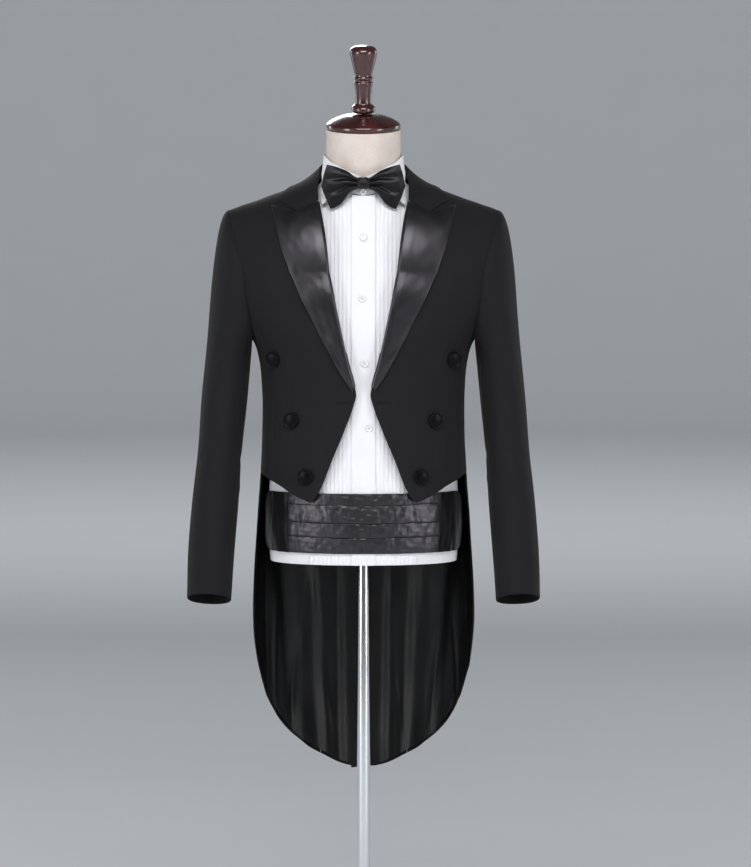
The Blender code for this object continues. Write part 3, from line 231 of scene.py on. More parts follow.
NECK_RADIUS = 0.0596
NECK_TILT = math.radians(8)
NECK_TOP_Y = -0.0085

# Shirt
SHIRT_HEM = 0.8155
SHIRT_OFF = 0.0006
PLACKET_HALF = 0.0190
PLEAT_WIDTH = 0.0064
PLEAT_COUNT = 10
PLEAT_HEIGHT = 0.0006
PLACKET_LIFT = 0.0009
NECK_SEAM = 0.0008
SHIRT_SEAM_HEIGHT = 1.165
SHIRT_ARMHOLE = ((1.165, 1.0), (1.200, 0.90), (1.260, 0.82), (1.320, 0.84), (1.360, 0.93))
SHIRT_BUTTONS = ((0.0, 1.333), (-0.002, 1.238), (0.002, 1.136), (0.009, 1.033))
COLLAR_BUTTON_HEIGHT = 1.4055
SHIRT_BUTTON_RADIUS = 0.0057

# Cummerbund: its edges and the top edges of its folds
CUMMERBUND_TOP = 0.9290
CUMMERBUND_BOTTOM = 0.8345
CUMMERBUND_FOLDS = (0.911, 0.883, 0.861)
CUMMERBUND_OFF = 0.0042
CUMMERBUND_STEP = 0.0019
CUMMERBUND_SEAM_X = 0.1145
CUMMERBUND_STRAP_HEIGHT = 0.045
CUMMERBUND_EXTRA = 0.0006
CUMMERBUND_SIDE_TURN = math.radians(70)
CUMMERBUND_SIDE_END = math.radians(112)

# Neckwear: angle from the middle of the front in degrees, height of the shirt collar's fold
COLLAR_RING = (
    (0.0, 1.4285),
    (24.0, 1.4392),
    (37.0, 1.4462),
    (57.0, 1.4540),
    (75.0, 1.4612),
    (95.0, 1.4640),
    (135.0, 1.4665),
    (180.0, 1.4680),
)
STAND_RADIUS = 0.0610
STAND_FOOT = 0.0012
NECK_MIDDLE_Y = -0.006
LEAF_TOP_RADIUS = 0.0626
LEAF_SPREAD = 0.0030
LEAF_START = math.radians(3)
# Lower edge of the collar leaf: share of the way round, x, y, height
LEAF_EDGE = (
    (0.00, 0.0655, -0.0725, 1.3860),
    (0.12, 0.0680, -0.0600, 1.3960),
    (0.30, 0.0655, -0.0330, 1.4225),
    (0.50, 0.0650, -0.0020, 1.4345),
    (0.75, 0.0470, 0.0440, 1.4380),
    (1.00, 0.0000, 0.0600, 1.4390),
)
TIE_MIDDLE = 1.4195
TIE_FRONT_Y = -0.0793
# Half of the bow: share of the way out, lower edge, upper edge (from the bow's middle), half thickness
BOW_SECTIONS = (
    (0.00, -0.0094, 0.0082, 0.0052),
    (0.14, -0.0112, 0.0118, 0.0060),
    (0.32, -0.0160, 0.0182, 0.0062),
    (0.60, -0.0312, 0.0242, 0.0056),
    (0.85, -0.0388, 0.0280, 0.0044),
    (1.00, -0.0408, 0.0296, 0.0026),
)
# Outer edge of the bow, from its lower tip up: share of the height, distance from the middle
BOW_END = ((-1.0, 0.0520), (-0.5, 0.0600), (0.02, 0.0668), (0.5, 0.0632), (1.0, 0.0580))
BOW_START = 0.0080
BOW_LEAN = 0.0025
BOW_EDGE = 0.0010
BOW_FOLD_WIDTH = 0.15
BOW_FOLD_DEPTH = 0.62
KNOT_HALF = (0.0118, 0.0098, 0.0108)

# Coat collar fold, front to back: share of the way round, distance inside the neckline, rise above it
COLLAR_FOLD = (
    (0.00, 0.0000, 0.0005),
    (0.12, 0.0008, 0.0030),
    (0.25, 0.0035, 0.0060),
    (0.38, 0.0064, 0.0115),
    (0.50, 0.0085, 0.0190),
    (0.68, 0.0080, 0.0310),
    (0.84, 0.0060, 0.0385),
    (1.00, 0.0045, 0.0410),
)
COLLAR_SHOULDER_AT = 0.50
COLLAR_LIFT = 0.0031
COLLAR_SPREAD = 2.4
COLLAR_STAND_START = 0.32
COLLAR_STAND_FOOT = (0.0045, 0.0025)
COLLAR_STAND_TOP = (0.0019, -0.0011)

# Covered coat buttons: distance from the middle, height
COAT_BUTTONS = ((0.1412, 1.142), (0.1130, 1.045), (0.0908, 0.9565))
COAT_BUTTON_RADIUS = 0.0125
COAT_BUTTON_HEIGHT = 0.0065
BUTTON_SEAT_SHARE = 1.3

# Stand
POLE_RADIUS = 0.0105
POLE_FOOT = 0.0155
BASE_RADIUS = 0.190
FORM_BOTTOM = FORM_SECTIONS[0][0]
CAP_RADIUS = 0.0595

# Camera: the photograph is 751 x 867, 1.6 mm to a pixel in the plane of the pole
CAMERA_PLACE = (0.0192, -8.0, 1.5)
CAMERA_TARGET = (0.0192, 0.0, 1.018)
CAMERA_LENS = 207.6
CAMERA_SENSOR = 36.0

# Extra lines that round the edges of the cloth, and how full the wall stands at each
EDGE_LINES = (0.10, 0.32, 0.68)
EDGE_PROFILE = (0.50, 0.82, 0.96, 1.0)


# General helpers

def smooth(table, at):
    """Values at the given keys on a smooth curve through a table whose first column is the key."""
    rows = np.asarray(table, float)
    if rows[0, 0] > rows[-1, 0]:
        rows = rows[::-1]
    keys, values = rows[:, 0], rows[:, 1:]
    slopes = np.gradient(values, keys, axis=0)
    at = np.clip(np.asarray(at, float), keys[0], keys[-1])
    low = np.clip(np.searchsorted(keys, at, side="right") - 1, 0, len(keys) - 2)
    span = (keys[low + 1] - keys[low])[..., None]
    t = (at - keys[low])[..., None] / span
    start = (2 * t**3 - 3 * t**2 + 1) * values[low] + (t**3 - 2 * t**2 + t) * span * slopes[low]
    end = (3 * t**2 - 2 * t**3) * values[low + 1] + (t**3 - t**2) * span * slopes[low + 1]
    return start + end


def ease(value, low, high):
    """0 at low, 1 at high, with soft ends."""
    t = np.clip((value - low) / (high - low), 0.0, 1.0)
    return t * t * (3 - 2 * t)


def resample(points, count):
    """count + 1 evenly spaced points on a smooth curve through the given points."""
    points = np.asarray(points, float)
    steps = np.linalg.norm(np.diff(points, axis=0), axis=1)
    along = np.concatenate([[0.0], np.cumsum(steps)])
    table = np.column_stack([along / along[-1], points])
    return smooth(table, np.linspace(0.0, 1.0, count + 1))


def unit(vectors):
    return vectors / np.maximum(np.linalg.norm(vectors, axis=-1, keepdims=True), 1e-12)


def surface_normal(surface, first, second):
    step = 1e-4
    across = surface(first + step, second) - surface(first - step, second)
    along = surface(first, second + step) - surface(first, second - step)
    return unit(np.cross(across, along))


def lifted(surface, first, second, lift):
    """Points of a two-parameter surface moved along its normal."""
    return surface(first, second) + surface_normal(surface, first, second) * np.asarray(lift)[..., None]


def grid_normals(grid, like):
    """Normals of a grid of points, each turned to the side of the vectors in like."""
    normal = unit(np.cross(np.gradient(grid, axis=1), np.gradient(grid, axis=0)))
    facing = np.sign(np.sum(normal * like, axis=-1, keepdims=True))
    return normal * np.where(facing == 0, 1.0, facing)


def across_panel(bottom, top, left, right):
    """Domain grid between four edges; left and right run up, bottom and top run across."""
    s = np.linspace(0.0, 1.0, len(left))[:, None]
    parts = []
    for edge in (bottom, top):
        parts.append((edge[:, 0] - edge[0, 0]) / (edge[-1, 0] - edge[0, 0]))
    part = (1 - s) * parts[0] + s * parts[1]
    u = left[:, :1] + (right[:, :1] - left[:, :1]) * part
    h = left[:, 1:] + (right[:, 1:] - left[:, 1:]) * part
    for edge, share, weight in ((bottom, parts[0], 1 - s), (top, parts[1], s)):
        straight = edge[0, 1] + (edge[-1, 1] - edge[0, 1]) * share
        h = h + weight * (edge[:, 1] - straight)
    return np.stack([u, h], axis=-1)


def drawn_in(grid, edges="bottom top left right", gap=SEAM_GAP):
    """The grid with the named edges moved half a seam gap towards its inside."""
    out = grid.copy()
    for name, (edge, near) in {"bottom": (0, 1), "top": (-1, -2)}.items():
        if name in edges:
            out[edge] += unit(grid[near] - grid[edge]) * gap / 2
    for name, (edge, near) in {"left": (0, 1), "right": (-1, -2)}.items():
        if name in edges:
            out[:, edge] += unit(grid[:, near] - grid[:, edge]) * gap / 2
    return out


def rough_noise(points, size, seed):
    """Soft repeatable noise between about -1 and 1 from a few crossed waves; points has 2 or 3 columns."""
    draw = np.random.default_rng(seed)
    total = np.zeros(points.shape[:-1])
    waves = 9
    for _ in range(waves):
        direction = unit(draw.normal(size=points.shape[-1]))
        scale = draw.uniform(0.6, 1.7)
        phase = draw.uniform(0, 2 * math.pi)
        total += np.sin(points @ direction * 2 * math.pi / (size * scale) + phase)
    return total / math.sqrt(waves)


def creases(across, along, table, side=1):
    """Height of soft troughs and ridges at metric places on the cloth.

    Each row is side (0 for both), middle across, middle along, length, width, turn in degrees,
    bow and height.
    """
    total = np.zeros(np.shape(across))
    for which, x, y, length, width, turn, bow, height in table:
        if which and which != side:
            continue
        angle = math.radians(turn)
        dx, dy = across - x, along - y
        run = dx * math.cos(angle) + dy * math.sin(angle)
        off = -dx * math.sin(angle) + dy * math.cos(angle)
        share = run / (length / 2)
        off = off - bow * (1 - share**2)
        fade = np.clip(1 - np.abs(share), 0.0, 1.0)
        fade = fade * fade * (3 - 2 * fade)
        total = total + height * fade * np.exp(-((off / width) ** 2))
    return total


# Making meshes

def with_edge_lines(grid, axis):
    """The grid with a few more lines close to both ends of an axis."""
    grid = np.moveaxis(grid, axis, 0)
    first = [grid[0] + (grid[1] - grid[0]) * share for share in EDGE_LINES]
    last = [grid[-1] + (grid[-2] - grid[-1]) * share for share in reversed(EDGE_LINES)]
    return np.moveaxis(np.concatenate([grid[:1], first, grid[1:-1], last, grid[-1:]]), 0, axis)


def edge_profile(rows, columns, edges):
    """How full the wall stands at each point of the grid, less near the named edges."""
    ramp = list(EDGE_PROFILE)
    down = np.ones(rows)
    across = np.ones(columns)
    if "bottom" in edges:
        down[: len(ramp)] = ramp
    if "top" in edges:
        down[-len(ramp):] = ramp[::-1]
    if "left" in edges:
        across[: len(ramp)] = ramp
    if "right" in edges:
        across[-len(ramp):] = ramp[::-1]
    return np.minimum(down[:, None], across[None, :])


def metric_grid(grid):
    """Distance across and along the cloth at each point of the grid, for the weave."""
    across = np.linalg.norm(np.diff(grid, axis=1), axis=-1)
    across = np.concatenate([np.zeros((len(grid), 1)), np.cumsum(across, axis=1)], axis=1)
    along = np.linalg.norm(np.diff(grid, axis=0), axis=-1)
    along = np.concatenate([np.zeros((1, grid.shape[1])), np.cumsum(along, axis=0)], axis=0)
    middle = across[:, across.shape[1] // 2][:, None]
    return np.stack([across - middle, along, np.zeros_like(along)], axis=-1)


def in_scene(name, data):
    """A new object that holds the data, linked to the scene."""
    made = bpy.data.objects.new(name, data)
    bpy.context.scene.collection.objects.link(made)
    return made


def mesh_object(name, points, faces, material, weave=None):
    """A smooth-shaded object from arrays; weave holds metric places for the material."""
    mesh = bpy.data.meshes.new(name)
    mesh.from_pydata(points.tolist(), [], faces.tolist())
    mesh.update()
    if weave is not None:
        layer = mesh.attributes.new("weave", "FLOAT_VECTOR", "POINT")
        layer.data.foreach_set("vector", weave.astype(np.float32).ravel())
    mesh.shade_smooth()
    mesh.set_sharp_from_angle(angle=math.radians(50))
    mesh.materials.append(material)
    made = in_scene(name, mesh)
    return made


def signed_volume(points, faces):
    """Volume inside quads whose corners run round each face."""
    corners = points[faces]
    first = np.cross(corners[:, 1] - corners[:, 0], corners[:, 2] - corners[:, 0])
    second = np.cross(corners[:, 2] - corners[:, 0], corners[:, 3] - corners[:, 0])
    return float(np.sum(corners[:, 0] * (first + second)))


def shell_object(name, outer, inner, material, side=1):
    """A thin closed wall between two grids of the same size, mirrored for side -1."""
    rows, columns = outer.shape[:2]
    index = np.arange(rows * columns).reshape(rows, columns)
    quads = [index[:-1, :-1], index[:-1, 1:], index[1:, 1:], index[1:, :-1]]
    face = np.stack(quads, axis=-1).reshape(-1, 4)
    back = face[:, ::-1] + rows * columns
    walls = []
    for line in (index[0], index[:, -1], index[-1][::-1], index[::-1, 0]):
        corners = [line[1:], line[:-1], line[:-1] + rows * columns, line[1:] + rows * columns]
        walls.append(np.stack(corners, axis=-1))
    faces = np.concatenate([face, back, *walls])
    points = np.concatenate([outer.reshape(-1, 3), inner.reshape(-1, 3)]) * np.array([side, 1, 1])
    if signed_volume(points, faces) < 0:
        faces = faces[:, ::-1]
    weave = metric_grid(outer)
    inside = weave.copy()
    inside[..., 2] = 1.0
    weave = np.concatenate([weave.reshape(-1, 3), inside.reshape(-1, 3)])
    return mesh_object(name, points, faces, material, weave)


def cloth_shell(name, grid, outward, wall, material, side=1, rounded="bottom top left right"):
    """A wall under a grid of outer points, with its named edges rounded like turned or pressed cloth."""
    grid = with_edge_lines(with_edge_lines(grid, 0), 1)
    outward = unit(with_edge_lines(with_edge_lines(outward, 0), 1))
    normal = grid_normals(grid, outward)
    full = edge_profile(*grid.shape[:2], rounded)[..., None]
    outer = grid - normal * wall * (1 - full)
    inner = grid - normal * wall * (1 - 0.15 * (1 - full))
    return shell_object(name, outer, inner, material, side)


def turned_object(name, profile, segments, material, place=None):
    """A body turned about Z from (radius, height) pairs that start and end on the axis."""
    maker = bmesh.new()
    rings = []
    for radius, height in profile:
        if radius < 1e-6:
            rings.append([maker.verts.new((0, 0, height))])
            continue
        turns = [2 * math.pi * k / segments for k in range(segments)]
        rings.append([maker.verts.new((radius * math.cos(t), radius * math.sin(t), height)) for t in turns])
    for low, high in zip(rings, rings[1:]):
        for k in range(segments):
            after = (k + 1) % segments
            corners = [low[k % len(low)], low[after % len(low)]]
            corners.extend([high[after % len(high)], high[k % len(high)]])
            maker.faces.new(list(dict.fromkeys(corners)))
    bmesh.ops.recalc_face_normals(maker, faces=maker.faces)
    if place is not None:
        bmesh.ops.transform(maker, matrix=place, verts=maker.verts)
    mesh = bpy.data.meshes.new(name)
    maker.to_mesh(mesh)
    maker.free()
    mesh.shade_smooth()
    mesh.set_sharp_from_angle(angle=math.radians(50))
    mesh.materials.append(material)
    made = in_scene(name, mesh)
    return made


def rounded_profile(profile, steps=5, share=0.35):
    """A turned profile with each corner replaced by a short curve."""
    points = [np.array(point, float) for point in profile]
    out = [points[0]]
    for before, corner, after in zip(points, points[1:], points[2:]):
        start = corner + (before - corner) * share
        end = corner + (after - corner) * share
        for t in np.linspace(0.0, 1.0, steps):
            out.append((1 - t) ** 2 * start + 2 * t * (1 - t) * corner + t**2 * end)
    out.append(points[-1])
    return [tuple(point) for point in out]


def settle(piece, slot, *nodes):
    """The piece rides on the one body and stands for its solids."""
    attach(piece, "root")
    if nodes:
        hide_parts(*nodes)
    return piece


def cloth(piece, cut, held, slot, *nodes, rests_on="form_torso"):
    """A settled piece."""
    settle(piece, slot, *nodes)
    return piece


# Coat surface, from u = 0 at the middle of the front to pi at the middle of the back

def ridge_height(x):
    """Height of the shoulder line at a distance from the middle."""
    return SHOULDER_TIP[1] + (SHOULDER_TIP[0] - np.abs(x)) * SHOULDER_SLOPE


def tail_wave(x, height, slack):
    """How far the hanging folds move a tail outward; slack is 1 for its lining."""
    drop = np.clip((FOLD_START - height) / (FOLD_START - TAIL_HEM[-1][1]), 0.0, 1.0)
    wave = np.zeros(np.shape(x))
    for (top, foot, width, depth), loose in zip(TAIL_FOLDS, LINING_SLACK):
        middle = top + (foot - top) * drop
        wave = wave + (depth - slack * loose) * np.exp(-(((np.abs(x) - middle) / width) ** 2))
    return wave * ease(-height, -FOLD_START, -FOLD_FULL)


def coat_surface(u, h, slack=0.0):
    """Outer face of the coat; above the chest h counts the travel over the shoulder."""
    u, h = np.broadcast_arrays(np.asarray(u, float), np.asarray(h, float))
    section = smooth(COAT_SECTIONS, np.minimum(h, CHEST))
    power = 2 / COAT_ROUNDNESS
    sine, cosine = np.sin(u), np.cos(u)
    x = section[..., 0] * np.sign(sine) * np.abs(sine) ** power
    depth = np.where(cosine > 0, section[..., 1], section[..., 2])
    y = -depth * np.sign(cosine) * np.abs(cosine) ** power
    over = np.clip((h - CHEST) / SHOULDER_TRAVEL, 0.0, 1.0) * math.pi / 2
    y = SHOULDER_LINE_Y * (1 - np.cos(over)) + y * np.cos(over)
    z = np.minimum(h, CHEST) + (ridge_height(x) - CHEST) * np.sin(over)
    away = unit(np.stack([x, y, np.zeros_like(x)], axis=-1))
    wave = tail_wave(x, h, slack) * (cosine < 0.15)
    return np.stack([x, y, z], axis=-1) + away * wave[..., None]


def lining_surface(u, h):
    return coat_surface(u, h, 1.0)


def coat_domain(x, z, facing):
    """(u, h) of the coat's point seen at (x, z) from the front (facing 1) or from the back (facing -1)."""
    half = smooth(COAT_SECTIONS, min(z, CHEST))[0]
    u = math.asin(min(1.0, x / half) ** (COAT_ROUNDNESS / 2))
    h = z
    if z > CHEST:
        rise = min(1.0, (z - CHEST) / (float(ridge_height(x)) - CHEST))
        h = CHEST + SHOULDER_TRAVEL * math.asin(rise) / (math.pi / 2)
    return (u if facing > 0 else math.pi - u, h)


def outline(points, facing, count):
    """Evenly spaced domain points along an outline given as (x, height) pairs."""
    return resample([coat_domain(x, z, facing) for x, z in points], count)


def angle_outline(points, count):
    return resample([(math.radians(angle), height) for angle, height in points], count)


TOP = CHEST + SHOULDER_TRAVEL
TIP_FRONT = coat_domain(SHOULDER_TIP[0], 9.0, 1)
TIP_BACK = coat_domain(SHOULDER_TIP[0], 9.0, -1)
NECK_FRONT = coat_domain(NECK_POINT_X, 9.0, 1)
BACK_NECK = CHEST + SHOULDER_TRAVEL * BACK_NECK_RISE


def front_armhole(count):
    points = [coat_domain(x, z, 1) for x, z in FRONT_ARMHOLE]
    return resample([*points, TIP_FRONT], count)


def back_armhole(count):
    points = [coat_domain(x, z, -1) for x, z in BACK_ARMHOLE]
    return resample([*points, TIP_BACK], count)


def underarm(front_count, back_count):
    """Lower armhole from the side-front seam round to the side-back seam."""
    start = coat_domain(*FRONT_ARMHOLE[0], 1)
    end = coat_domain(*BACK_ARMHOLE[0], -1)
    bottom = (math.radians(90), ARMHOLE_BOTTOM_HEIGHT)
    first = [start, (math.radians(76), 1.1765), bottom]
    second = [bottom, (math.radians(101), 1.1770), (math.radians(111), 1.200), end]
    return np.concatenate([resample(first, front_count), resample(second, back_count)[1:]])


def back_neckline(x_at_shoulder, back_height, count):
    """Domain curve round the back of the neck, from the shoulder line to the middle of the back."""
    turn = np.linspace(0.0, math.pi / 2, count + 1)
    x = x_at_shoulder * np.cos(turn)
    half = COAT_SECTIONS[-1][1]
    u = math.pi - np.arcsin((x / half) ** (COAT_ROUNDNESS / 2))
    h = TOP - (TOP - back_height) * np.sin(turn)
    return np.stack([u, h], axis=-1)


# Rows and columns that neighbouring panels share
SEAM_ROWS = 70
ARMHOLE_ROWS = 46
UNDERARM_FRONT = 12
UNDERARM_BACK = 44
TAIL_ROWS = 102
SKIRT_COLUMNS = 54
BACK_COLUMNS = 34
NECK_COLUMNS = 20
FRONT_COLUMNS = 44

# Soft creases of the body: side, across (about 0.17 x the turn from the middle of the front),
# height, length, width, turn, bow, height of the crease
BODY_CREASES = (
    (0, 0.124, 1.090, 0.072, 0.0032, 90, 0.001, -0.0006),
    (0, 0.030, 1.080, 0.060, 0.0060, 12, 0.003, -0.0010),
    (1, 0.040, 1.062, 0.080, 0.0080, -20, 0.004, -0.0009),
    (-1, 0.045, 1.070, 0.070, 0.0070, -28, -0.004, -0.0009),
    (0, 0.152, 1.030, 0.190, 0.0100, 88, 0.003, 0.0014),
    (1, 0.170, 1.010, 0.170, 0.0090, 82, 0.004, -0.0016),
    (-1, 0.168, 1.020, 0.150, 0.0090, 95, -0.003, -0.0015),
    (1, 0.120, 1.000, 0.120, 0.0100, 97, 0.004, -0.0010),
    (-1, 0.118, 1.020, 0.140, 0.0110, 84, 0.004, -0.0011),
    (0, 0.200, 1.215, 0.120, 0.0090, 62, 0.006, -0.0018),
    (1, 0.215, 1.240, 0.110, 0.0080, 70, 0.005, 0.0014),
    (-1, 0.212, 1.250, 0.120, 0.0080, 66, 0.006, 0.0015),
    (1, 0.080, 1.160, 0.130, 0.0140, 70, 0.004, 0.0009),
    (-1, 0.085, 1.150, 0.120, 0.0140, 64, -0.004, 0.0009),
    (0, 0.290, 1.060, 0.180, 0.0120, 92, 0.004, -0.0018),
    (1, 0.330, 1.040, 0.150, 0.0110, 80, 0.005, 0.0016),
    (-1, 0.335, 1.030, 0.160, 0.0110, 99, -0.005, 0.0017),
    (1, 0.400, 1.010, 0.110, 0.0100, 60, 0.005, -0.0015),
    (-1, 0.405, 1.000, 0.120, 0.0100, 66, 0.005, -0.0014),
    (1, 0.430, 1.190, 0.180, 0.0130, 76, 0.006, 0.0016),
    (-1, 0.425, 1.200, 0.170, 0.0120, 82, -0.006, 0.0015),
    (0, 0.350, 1.180, 0.140, 0.0100, 58, 0.006, -0.0020),
    (1, 0.480, 1.300, 0.120, 0.0120, 20, 0.004, -0.0012),
    (-1, 0.475, 1.310, 0.130, 0.0120, 14, -0.004, -0.0012),
)
BODY_GIRTH_STEP = 0.17
# Smaller drapes of the tails: same columns
TAIL_CREASES = (
    (1, 0.330, 0.720, 0.330, 0.0060, 88, 0.004, 0.0016),
    (-1, 0.345, 0.700, 0.300, 0.0060, 93, -0.004, 0.0016),
    (1, 0.372, 0.640, 0.240, 0.0050, 85, 0.004, -0.0014),
    (-1, 0.380, 0.650, 0.260, 0.0050, 90, 0.003, -0.0015),
    (1, 0.420, 0.600, 0.200, 0.0055, 96, -0.004, 0.0015),
    (-1, 0.425, 0.590, 0.190, 0.0055, 84, 0.004, 0.0014),
    (1, 0.455, 0.760, 0.260, 0.0060, 91, 0.003, 0.0013),
    (-1, 0.450, 0.740, 0.280, 0.0060, 87, 0.003, 0.0013),
    (1, 0.300, 0.850, 0.180, 0.0070, 97, 0.003, 0.0014),
    (-1, 0.305, 0.840, 0.170, 0.0070, 84, -0.003, 0.0015),
    (1, 0.490, 0.560, 0.150, 0.0050, 80, 0.003, -0.0012),
    (-1, 0.492, 0.570, 0.160, 0.0050, 99, 0.003, -0.0012),
)
CLOTH_UNEVEN = 0.00035


def coat_crease(u, h, side):
    """Height of the coat's own creases over its smooth surface."""
    across = u * BODY_GIRTH_STEP
    total = creases(across, h, BODY_CREASES, side) + creases(across, h, TAIL_CREASES, side)
    places = np.stack([across * 1.6, h * 0.55], axis=-1)
    return total + CLOTH_UNEVEN * rough_noise(places, 0.075, 11 + side)


def coat_grid(domain, lift, side, surface=coat_surface):
    """Points over the coat's creased surface, and the smooth surface's normals."""
    u, h = domain[..., 0], domain[..., 1]
    normal = surface_normal(surface, u, h)
    raised = np.asarray(lift) + coat_crease(u, h, side)
    return surface(u, h) + normal * raised[..., None], normal


def add_panel(name, cut, domain, side, materials, nodes):
    grid, normal = coat_grid(domain, np.zeros(domain.shape[:2]), side)
    piece = cloth_shell(name, drawn_in(grid), normal, COAT_WALL, materials["wool"], side)
    return cloth(piece, cut, "hung", "wool", *nodes)


def add_coat_fronts(side, hand, materials):
    right = np.concatenate([outline(SIDE_FRONT_SEAM, 1, SEAM_ROWS), front_armhole(ARMHOLE_ROWS)[1:]])
    rows = len(right) - 1
    edge = [coat_domain(x, z, 1) for x, z in CUTAWAY_EDGE]
    past = np.minimum(np.arange(len(ROLL_LINE)) / 2, 1.0) * FRONT_PAST_ROLL
    roll = [coat_domain(x + more, z, 1) for (x, z), more in zip(ROLL_LINE, past)]
    left = resample([*edge, *roll, NECK_FRONT], rows)
    bottom = outline(FRONT_HEM, 1, FRONT_COLUMNS)
    across = np.linspace(NECK_FRONT[0], TIP_FRONT[0], FRONT_COLUMNS + 1)
    top = np.stack([across, np.full(FRONT_COLUMNS + 1, TOP)], axis=-1)
    name = f"coat_front_{hand}"
    add_panel(f"cloth_{name}", "coat_front", across_panel(bottom, top, left, right), side, materials, [name])


def waist_seam(count):
    """Domain points along the waist seam from the hem's end to the side-back seam."""
    start = (math.radians(TAIL_EDGE[0][0]), WAIST_SEAM)
    return resample([start, coat_domain(TAIL_SEAM[0][0], WAIST_SEAM, -1)], count)


def add_coat_sides(side, hand, materials):
    left = outline(SIDE_FRONT_SEAM, 1, SEAM_ROWS)
    right = outline(SIDE_BACK_SEAM, -1, SEAM_ROWS)
    hem = [coat_domain(x, z, 1) for x, z in SIDE_HEM]
    hem.append(tuple(waist_seam(1)[0]))
    bottom = np.concatenate([resample(hem, UNDERARM_FRONT), waist_seam(UNDERARM_BACK)[1:]])
    top = underarm(UNDERARM_FRONT, UNDERARM_BACK)
    name = f"coat_side_{hand}"
    add_panel(f"cloth_{name}", "coat_side", across_panel(bottom, top, left, right), side, materials, [name])


def back_domain():
    """Back panel from the tail's hem to the shoulder, from the middle of the back out."""
    tail = outline(TAIL_SEAM, -1, TAIL_ROWS)[::-1]
    seam = outline(SIDE_BACK_SEAM, -1, SEAM_ROWS)
    right = np.concatenate([tail, seam[1:], back_armhole(ARMHOLE_ROWS)[1:]])
    rows = len(right) - 1
    hem = angle_outline([row for row in TAIL_HEM if row[0] >= SEAM_AT_HEM], BACK_COLUMNS)
    heights = np.interp(np.arange(rows + 1), [0, TAIL_ROWS, rows], [TAIL_HEM[-1][1], WAIST_SEAM, BACK_NECK])
    left = np.stack([np.full(rows + 1, math.pi), heights], axis=-1)
    neck = back_neckline(NECK_POINT_X, BACK_NECK, NECK_COLUMNS)[::-1]
    shoulder = resample([neck[-1], TIP_BACK], BACK_COLUMNS - NECK_COLUMNS)
    top = np.concatenate([neck, shoulder[1:]])
    return across_panel(hem[::-1], top, left, right)


def skirt_domain():
    left = outline(TAIL_SEAM, -1, TAIL_ROWS)[::-1]
    right = angle_outline(TAIL_EDGE, TAIL_ROWS)[::-1]
    hem = angle_outline([row for row in TAIL_HEM if row[0] <= SEAM_AT_HEM], SKIRT_COLUMNS)
    return across_panel(hem[::-1], waist_seam(SKIRT_COLUMNS)[::-1], left, right)


def add_coat_backs(side, hand, materials):
    """Below the vent's top the wearer's left laps over the right."""
    domain = back_domain()
    lift = np.zeros(domain.shape[:2])
    if side > 0:
        height = domain[:, 0, 1]
        lap = 1 - ease(height, VENT_TOP - VENT_RAMP, VENT_TOP)
        rise = 1 - ease(height, WAIST_SEAM + 0.001, WAIST_SEAM + VENT_RAMP)
        lapped = BACK_COLUMNS // 5
        for column in range(lapped + 1):
            share = column / lapped
            x = -VENT_LAP + (VENT_TURN + VENT_LAP) * share
            ratio = abs(x) / COAT_SECTIONS[2][1]
            past = math.pi - math.copysign(math.asin(ratio ** (COAT_ROUNDNESS / 2)), x)
            domain[:, column, 0] += (past - domain[:, column, 0]) * lap
            lift[:, column] = VENT_LIFT * rise
        ramp = 4
        for column in range(lapped + 1, lapped + 1 + ramp):
            lift[:, column] = VENT_LIFT * rise * (1 - (column - lapped) / (ramp + 1))
    grid, normal = coat_grid(domain, lift, side)
    name = f"coat_back_{hand}"
    piece = cloth_shell(f"cloth_{name}", drawn_in(grid), normal, COAT_WALL, materials["wool"], side)
    cloth(piece, "coat_back", "hung", "wool", name)


def add_skirts(side, hand, materials):
    name = f"coat_skirt_{hand}"
    add_panel(f"cloth_{name}", "coat_skirt", skirt_domain(), side, materials, [name])


def add_linings(side, hand, materials):
    """Satin inside of a tail, made from the points of its two panels."""
    tail = back_domain()[: TAIL_ROWS + 1]
    domain = np.concatenate([tail, skirt_domain()[:, 1:]], axis=1)
    depth = -COAT_WALL - LINING_GAP
    outer, normal = coat_grid(domain, np.full(domain.shape[:2], depth), side, lining_surface)
    outer = drawn_in(outer, "bottom right", 2 * LINING_INSET)
    outer = drawn_in(outer, "left top")
    name = f"tail_lining_{hand}"
    piece = cloth_shell(f"cloth_{name}", outer, normal, LINING_WALL, materials["lining"], side)
    cloth(piece, "tail_lining", "hung", "lining", name, rests_on=f"cloth_coat_back_{hand}")


# Sleeves: columns run round the armhole from the shoulder tip by the front

